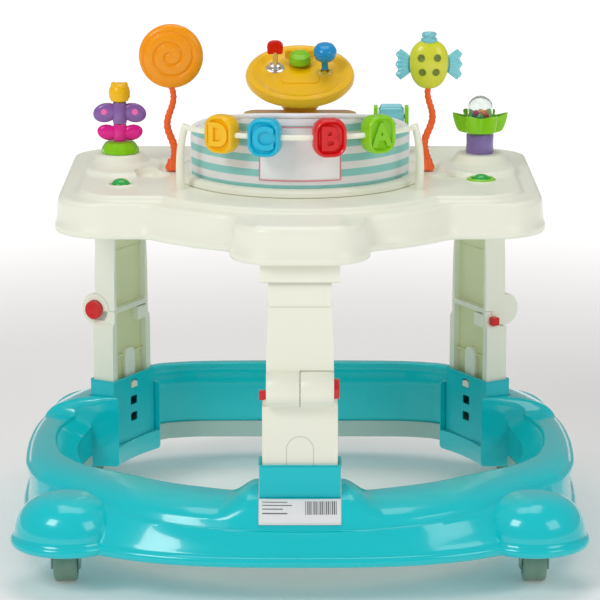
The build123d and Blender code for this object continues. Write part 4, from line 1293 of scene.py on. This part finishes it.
# wing pair: rounded lobes whose faces swell, from an outline in the x-z plane
def wingPart(outline, centre, halfThick, basis=np.eye(3), rings=9):
    middle = outline.mean(0)
    layers = []
    for u in np.linspace(0, pi, 2 * rings):
        scale = np.clip(np.sin(u), 0.0, 1) ** 0.45
        flatLoop = middle + (outline - middle) * scale
        layers.append(np.stack([flatLoop[:, 0], np.full(len(outline), -halfThick * np.cos(u)),
                                flatLoop[:, 1]], -1))
    return gridPart(np.array(layers) @ basis + centre, False, True)


def lobe(cx, cz, rx, rz, tilt, steps=40):
    b = fullTurn(steps)
    x, z = rx * np.cos(b), rz * np.sin(b)
    return np.stack([cx + x * cos(tilt) - z * sin(tilt), cz + x * sin(tilt) + z * cos(tilt)], -1)


facet = np.arange(10) * 2 * pi / 10
baseLayers = [(22.0, 449.0), (23.0, 451.0), (22.4, 455.0), (18.0, 462.0), (8.5, 463.0), (3.6, 463.0),
              (3.5, 512.0)]
baseGrid = np.array([[(r * cos(b), r * sin(b), z) for b in facet] for r, z in baseLayers]) + flyAt
addPiece("butterflyBase", [gridPart(baseGrid, False, True, caps=(0, -1))], "tray", "lime", "lime",
         "butterfly_base", flat=True, bevel=(0.8, 2, 20))
lowerWings = [wingPart(lobe(side * 14.5, 473.5, 13.0, 9.4, side * 0.22), flyAt, 4.6) for side in (-1, 1)]
lowerWings.append(revolved([(3.6, 463.6), (7.5, 463.6), (8.2, 466), (8.2, 482), (7.5, 484), (3.6, 484)],
                           flyAt, 32))
lowerPiece = meshObject("butterflyLowerWings", lowerWings)
place(lowerPiece, "butterfly_lower", "magenta", "magenta", "butterfly_lower_wings")
upperWings = [wingPart(lobe(side * 17.0, 497.5, 15.2, 11.6, side * -0.28), flyAt, 4.8) for side in (-1, 1)]
upperWings.append(revolved([(3.6, 485), (8.2, 485), (8.8, 488), (8.6, 508), (7.8, 510.2), (3.6, 510.2)],
                           flyAt, 32))
upperPiece = meshObject("butterflyUpperWings", upperWings)
place(upperPiece, "butterfly_upper", "purple", "purple", "butterfly_upper_wings")
spots = [revolved([(0, 0.9), (3.4, 0.6), (4.2, -0.4), (4.2, -2), (0, -2)],
                  flyAt + np.array([side * 18.5, face * 4.7, 499.0]), 24, basisAlong((0, face, 0)))
         for side in (-1, 1) for face in (-1, 1)]
addPiece("butterflySpots", spots, "butterfly_upper", "purple", "pink")
headProfile = [(0, 510.4), (6.5, 510.4), (10.6, 512.4), (12.8, 517.0), (13.0, 522.0), (11.6, 528.0),
               (8.0, 532.4), (3.5, 533.8), (0, 534)]
feeler = [(3.4 * cos(t), 3.4 * sin(t)) for t in np.linspace(-pi / 2, pi / 2, 12)]
addPiece("butterflyHead", [revolved(headProfile, flyAt, 48)]
         + [revolved([(0, -3.4)] + feeler[1:-1] + [(0, 3.4)], flyAt + np.array([x, 0, 531.5]), 20)
            for x in (-7.0, 7.0)], "butterfly_upper", "yellow", "yellow", "butterfly_head")
print("butterfly ready")

# rattle: a drum, a leafy crown that spins, and a clear dome with balls
rattleAt = np.array([trayShape["moundX"], trayShape["moundY"], 0.0])
drum = [(0, 449), (15.8, 449), (17.0, 451), (16.2, 461), (16.6, 470), (15.4, 473), (4, 473), (4, 484),
        (0, 484)]
addPiece("rattleDrum", [revolved(drum, rattleAt, 64)], "tray", "purple", "drumPurple", "rattle_drum")
# crown: radius = base + lobe * cos(6 a), leaves curl up towards their tips
u, a = pairs(np.linspace(0, 1, 26), fullTurn(144))
leafR = 16 + (11.0 + 6.0 * np.cos(6 * a)) * u ** 0.8
topZ = 484.5 - 5.0 * np.sin(pi * u) + 11.0 * u ** 3 + 2.2 * np.cos(6 * a) * u ** 2
botZ = topZ - 1.4 - 4.6 * np.sqrt(np.clip(1 - u ** 3, 0, 1))
crownTop = polar(leafR, a, topZ)
crownLow = polar(leafR, a, botZ)[::-1]
hub = [(4.1, 473.6), (15.6, 473.6), (17.0, 476), (17.2, 488), (16.0, 489.2), (4.1, 489.2), (4.1, 473.6)]
addPiece("rattleCrown", [gridPart(np.concatenate([crownTop, crownLow]) + rattleAt, True, True),
                         revolved(hub, rattleAt, 48)], "rattle_top", "lime", "lime", "rattle_crown")
b = np.linspace(0.0, pi / 2, 18)
domeOut = [(15.2, 489.3)] + [(15.2 * cos(t), 503 + 15 * sin(t)) for t in b]
domeIn = [(14.0 * cos(t), 503 + 13.8 * sin(t)) for t in b[::-1]] + [(14.0, 489.3), (15.2, 489.3)]
domeOut[-1], domeIn[0] = (0, 518), (0, 516.8)
addPiece("rattleDome", [revolved(domeOut + domeIn, rattleAt, 56)], "rattle_top", "clear", "clear",
         "rattle_dome")
ballColours = ("red", "yellow", "blue", "magenta", "green", "orange")
for k, colour in enumerate(ballColours):
    turn = 2 * pi * k / 6 + 0.4
    ball = [(3.6 * cos(t), 3.6 * sin(t)) for t in np.linspace(-pi / 2, pi / 2, 14)]
    ball[0], ball[-1] = (0, -3.6), (0, 3.6)
    at = rattleAt + np.array([(8.4 - 3 * (k % 2)) * cos(turn), (8.4 - 3 * (k % 2)) * sin(turn),
                              493.4 + 4.2 * (k % 2)])
    addPiece("rattleBall" + str(k + 1), [revolved(ball, at, 24)], "rattle_top", "clear", colour)
print("rattle ready")

# steering toy: its face leans back
wheelLow, wheelHigh = boxOf("steering_wheel")
steering = {"tilt": 22.0, "keyAt": (-31, 17), "hornAt": (0, 26), "shifterAt": (31, 6)}
tilt = radians(steering["tilt"])
wheelAt = (wheelLow + wheelHigh) / 2
faceUp, faceOut = np.array([0, cos(tilt), sin(tilt)]), np.array([0, -sin(tilt), cos(tilt)])
faceBasis = np.array([[1, 0, 0], faceUp, faceOut], float)


def onWheel(x, y, lift=0.0):
    return wheelAt + x * faceBasis[0] + y * faceUp + lift * faceOut


consoleLoop = rectLoop(-76, 76, -20, 20, 14, 8)
consoleLayers = [(1.0, 434.0), (1.005, 436.0), (0.985, 446.0), (0.955, 464.0), (0.94, 472.0),
                 (0.915, 475.4), (0.86, 476.6), (0.5, 477.0)]
consoleGrid = np.array([np.concatenate([consoleLoop * s, np.full((len(consoleLoop), 1), z)], 1)
                        for s, z in consoleLayers])
column = [(0, -40), (24, -40), (23, -24), (20, -12), (12, -10.5), (7, -10), (7, 0), (0, 0)]
addPiece("steeringConsole", [gridPart(consoleGrid + np.array([0, 190, 0]), False, True, caps=(0, -1)),
                             revolved(column, wheelAt, 48, faceBasis)], "tray", "olive", "olive", "console")
screws = [revolved([(0, 0.4), (1.2, 0.4), (1.3, 1.2), (3.4, 1.2), (4.0, 0.4), (4.0, -1)], (x, 170.9, 468.0),
                   20, basisAlong((0, -1, 0.12)))
          for x in (-34, 34)]
addPiece("consoleScrews", screws, "tray", "olive", "steel")

# wheel: a dished disc with a rolled rim; profile turned about the tilted axis
rimProfile = [(0, -7.5), (40, -7.5), (56, -8.6), (64, -6.5), (67.6, -2.0), (68, 2.0), (66.0, 6.6),
              (61.5, 8.8), (57.0, 7.6), (53.0, 4.4), (46.0, 2.4), (30, 2.0), (0, 2.0)]
wheelPiece = meshObject("steeringWheel", [revolved(rimProfile, wheelAt, 144, faceBasis)])
slotLoop = rectLoop(-19, 19, 39, 53, 5, 6)
cutAway(wheelPiece, [prism(slotLoop, -30, 30, wheelAt, faceBasis)])
wheelPiece.data.polygons.foreach_set("use_smooth", np.full(len(wheelPiece.data.polygons), True))
wheelPiece.data.set_sharp_from_angle(angle=radians(35))
place(wheelPiece, "wheel", "yellow", "yellow", "steering_wheel")
panelLoop = rectLoop(-24, 24, -20, 2, 9, 8)
panel = meshObject("wheelPanel", [prism(panelLoop, 1.0, 3.4, wheelAt, faceBasis)], flat=True)
place(bevelEdges(panel, 0.9, 3), "wheel", "yellow", "yellow")
addPiece("keyPlate", [revolved([(0, 3.4), (9.0, 3.4), (11.6, 2.6), (12.4, 1.0), (12.4, 0)],
                               onWheel(*steering["keyAt"]), 40, faceBasis)], "wheel", "silver", "silver")
addPiece("shifterBoot", [revolved([(5.2, 4.6), (7.4, 4.8), (10.5, 3.2), (11.2, 1.0), (5.2, 1.0)],
                                  onWheel(*steering["shifterAt"]), 40, faceBasis)], "wheel", "yellow",
                                  "olive")
# horn: a button that is flat at the back and domed at the front
horn = [(0, 6.2), (13.0, 6.2), (14.0, 7.4), (14.0, 12.0), (12.4, 16.0), (8.6, 18.0), (3.0, 18.5), (0, 18.5)]
addPiece("hornButton", [revolved(horn, onWheel(*steering["hornAt"]), 48, faceBasis)], "horn", "lime",
         "lime", "horn_button")
keyShaft = [(0, 3.6), (7.8, 3.6), (8.2, 5.0), (7.0, 7.4), (3.6, 8.2), (3.2, 10), (3.2, 26), (0, 26)]
addPiece("keyShaft", [revolved(keyShaft, onWheel(*steering["keyAt"]), 36, faceBasis)], "key", "silver",
         "silver", "ignition_key")
bow = roundedLoop([(-9.5, 23.0), (9.5, 23.0), (10.5, 41.5), (-10.5, 41.5)], [3, 3, 8, 8], 8)
bowBasis = np.array([[1, 0, 0], faceOut, -faceUp], float)
addPiece("keyBow", [prism(bow, -2.6, 2.6, onWheel(*steering["keyAt"]), bowBasis)], "key", "silver", "red",
         flat=True, bevel=(1.5, 4))
knob = [(0, 8.0), (4.4, 8.0), (4.2, 12), (4.0, 19.5), (7.5, 20.5), (12.4, 24.0), (14.6, 29.5), (14.4, 34.5),
        (11.6, 39.4), (6.0, 41.8), (0, 42.0)]
addPiece("shiftKnob", [revolved(knob, onWheel(*steering["shifterAt"]), 56, faceBasis)], "shifter", "blue",
         "blue", "shift_knob")
print("steering toy ready")

# push buttons: a domed cap, with a rim around the right one
for side in ("left", "right"):
    low, high = boxOf(side + "_push_button")
    centre = ((low[0] + high[0]) / 2, (low[1] + high[1]) / 2, 0)
    dome = [(0, 428), (10.9, 428)] + [(10.9 * cos(b), 434 + 7.2 * sin(b))
                                      for b in np.linspace(0, pi / 2, 14)]
    dome[-1] = (0, 441.2)
    addPiece(side + "PushButton", [revolved(dome, centre, 44)], side + "_button", "green", "green",
             side + "_push_button")
    if side == "right":
        ring = [(11.6, 434.0), (11.8, 436.4), (14.4, 437.0), (17.0, 435.6), (18.2, 433.6), (11.6, 433.6)]
        addPiece("buttonSurround", [revolved(ring, centre, 56)], "tray", "ivory", "lime")

rollerAt = middleOf("roller_drum")
sides = []
for side in (-1, 1):
    loop = roundedLoop([(-10, 434), (10, 434), (10, 478), (6, 492), (-6, 492), (-10, 478)],
                       [1, 1, 4, 5, 5, 4], 6)
    basis = np.array([[0, 1, 0], [0, 0, 1], [1, 0, 0]], float)
    sides.append(prism(loop, side * 19 - 2.4, side * 19 + 2.4, (rollerAt[0], rollerAt[1], 0), basis))
sides.append(boxPart((-21.4, -10, 434), (21.4, 10, 440), (rollerAt[0], rollerAt[1], 0)))
addPiece("rollerFrame", sides, "tray", "lime", "lime", "roller_frame", flat=True, bevel=(1.1, 3))
u, a = pairs(np.linspace(-15.6, 15.6, 40), fullTurn(96))
ridge = 14.8 + 0.9 * np.cos(8 * a) * np.clip(1 - (u / 15.6) ** 8, 0, 1)
ridge = ridge * np.clip(1 - (np.abs(u) / 15.7) ** 14, 0.72, 1)
drumGrid = np.stack([u, ridge * np.cos(a), ridge * np.sin(a)], -1)
drumParts = [gridPart(drumGrid + rollerAt, False, True, caps=(0, -1)),
             revolved([(0, -21), (2.9, -21), (2.9, 21), (0, 21)], rollerAt, 20, basisAlong((1, 0, 0)))]
addPiece("rollerDrum", drumParts, "roller", "clear", "ice_blue", "roller_drum")
for node in ("foot_pins", "head_pins"):
    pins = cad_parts[node]
    pins.data.materials.clear()
    pins.data.materials.append(finishes["steel"])
print("toys ready")

# the floor is a flat square that glows more, the farther it is from the middle
floorShape = {"half": 9000.0, "glowFrom": 0.75, "glowTo": 2.4, "near": 0.1, "far": 0.72}
floorX, floorY = pairs([-floorShape["half"], floorShape["half"]], [-floorShape["half"], floorShape["half"]])
floorPiece = meshObject("studioFloor", [gridPart(np.stack([floorX, floorY, 0 * floorX], -1))],
                        turnOut=False)
floorFinish = bpy.data.materials.new("paleFloor")
floorFinish.use_nodes = True
tree = floorFinish.node_tree
floorShader = tree.nodes["Principled BSDF"]
place3d = tree.nodes.new("ShaderNodeTexCoord").outputs["Object"]
mottled = tree.nodes.new("ShaderNodeTexNoise")
mottled.inputs["Scale"].default_value = 3
tree.links.new(place3d, mottled.inputs["Vector"])
# a faint warm tint, painted to cancel the turquoise light bounced onto the floor, mottled at random
paper = mixColour(tree, mottled.outputs["Fac"], (0.95, 0.925, 0.915, 1), (0.96, 0.935, 0.925, 1))
tree.links.new(paper, floorShader.inputs["Base Color"])
distance = tree.nodes.new("ShaderNodeVectorMath")
distance.operation = "LENGTH"
tree.links.new(place3d, distance.inputs[0])
glow = tree.nodes.new("ShaderNodeMapRange")
glow.interpolation_type = "SMOOTHSTEP"
tree.links.new(distance.outputs["Value"], glow.inputs["Value"])
for socket, value in (("From Min", "glowFrom"), ("From Max", "glowTo"), ("To Min", "near"),
                      ("To Max", "far")):
    glow.inputs[socket].default_value = floorShape[value]
tree.links.new(glow.outputs["Result"], floorShader.inputs["Emission Strength"])
floorShader.inputs["Emission Color"].default_value = (1, 1, 1, 1)
floorShader.inputs["Roughness"].default_value = 0.7
floorShader.inputs["Specular IOR Level"].default_value = 0.2
floorPiece.data.materials.append(floorFinish)

lights = {"key": ((-1.9, -2.2, 2.6), 35.0, 1.2), "fill": ((2.3, -2.0, 1.9), 16.0, 1.4),
          "top": ((0.0, 0.4, 3.0), 21.0, 1.8)}
for name, (at, power, size) in lights.items():
    lamp = bpy.data.lights.new(name, "AREA")
    lamp.energy, lamp.size, lamp.shape = power, size, "SQUARE"
    lampObject = bpy.data.objects.new(name, lamp)
    aim = Vector((0, 0, 0.3)) - Vector(at)
    lampObject.matrix_world = Matrix.Translation(at) @ aim.to_track_quat("-Z", "Y").to_matrix().to_4x4()
    bpy.context.collection.objects.link(lampObject)
world = bpy.data.worlds.new("softRoom")
world.use_nodes = True
world.node_tree.nodes["Background"].inputs[0].default_value = (1.0, 1.0, 0.99, 1)
world.node_tree.nodes["Background"].inputs[1].default_value = 0.34
bpy.context.scene.world = world

cameraShape = {"at": (0.0, -3.294, 1.068), "down": 13.43, "lens": 170.1}
camera = bpy.data.cameras.new("view")
camera.lens, camera.sensor_width, camera.clip_end = cameraShape["lens"], 36.0, 60.0
cameraObject = bpy.data.objects.new("view", camera)
lookDown = Matrix.Rotation(radians(90 - cameraShape["down"]), 4, "X")
cameraObject.matrix_world = Matrix.Translation(cameraShape["at"]) @ lookDown
bpy.context.collection.objects.link(cameraObject)
bpy.context.scene.camera = cameraObject

bpy.context.scene.view_settings.view_transform = "Standard"
print("scene ready")
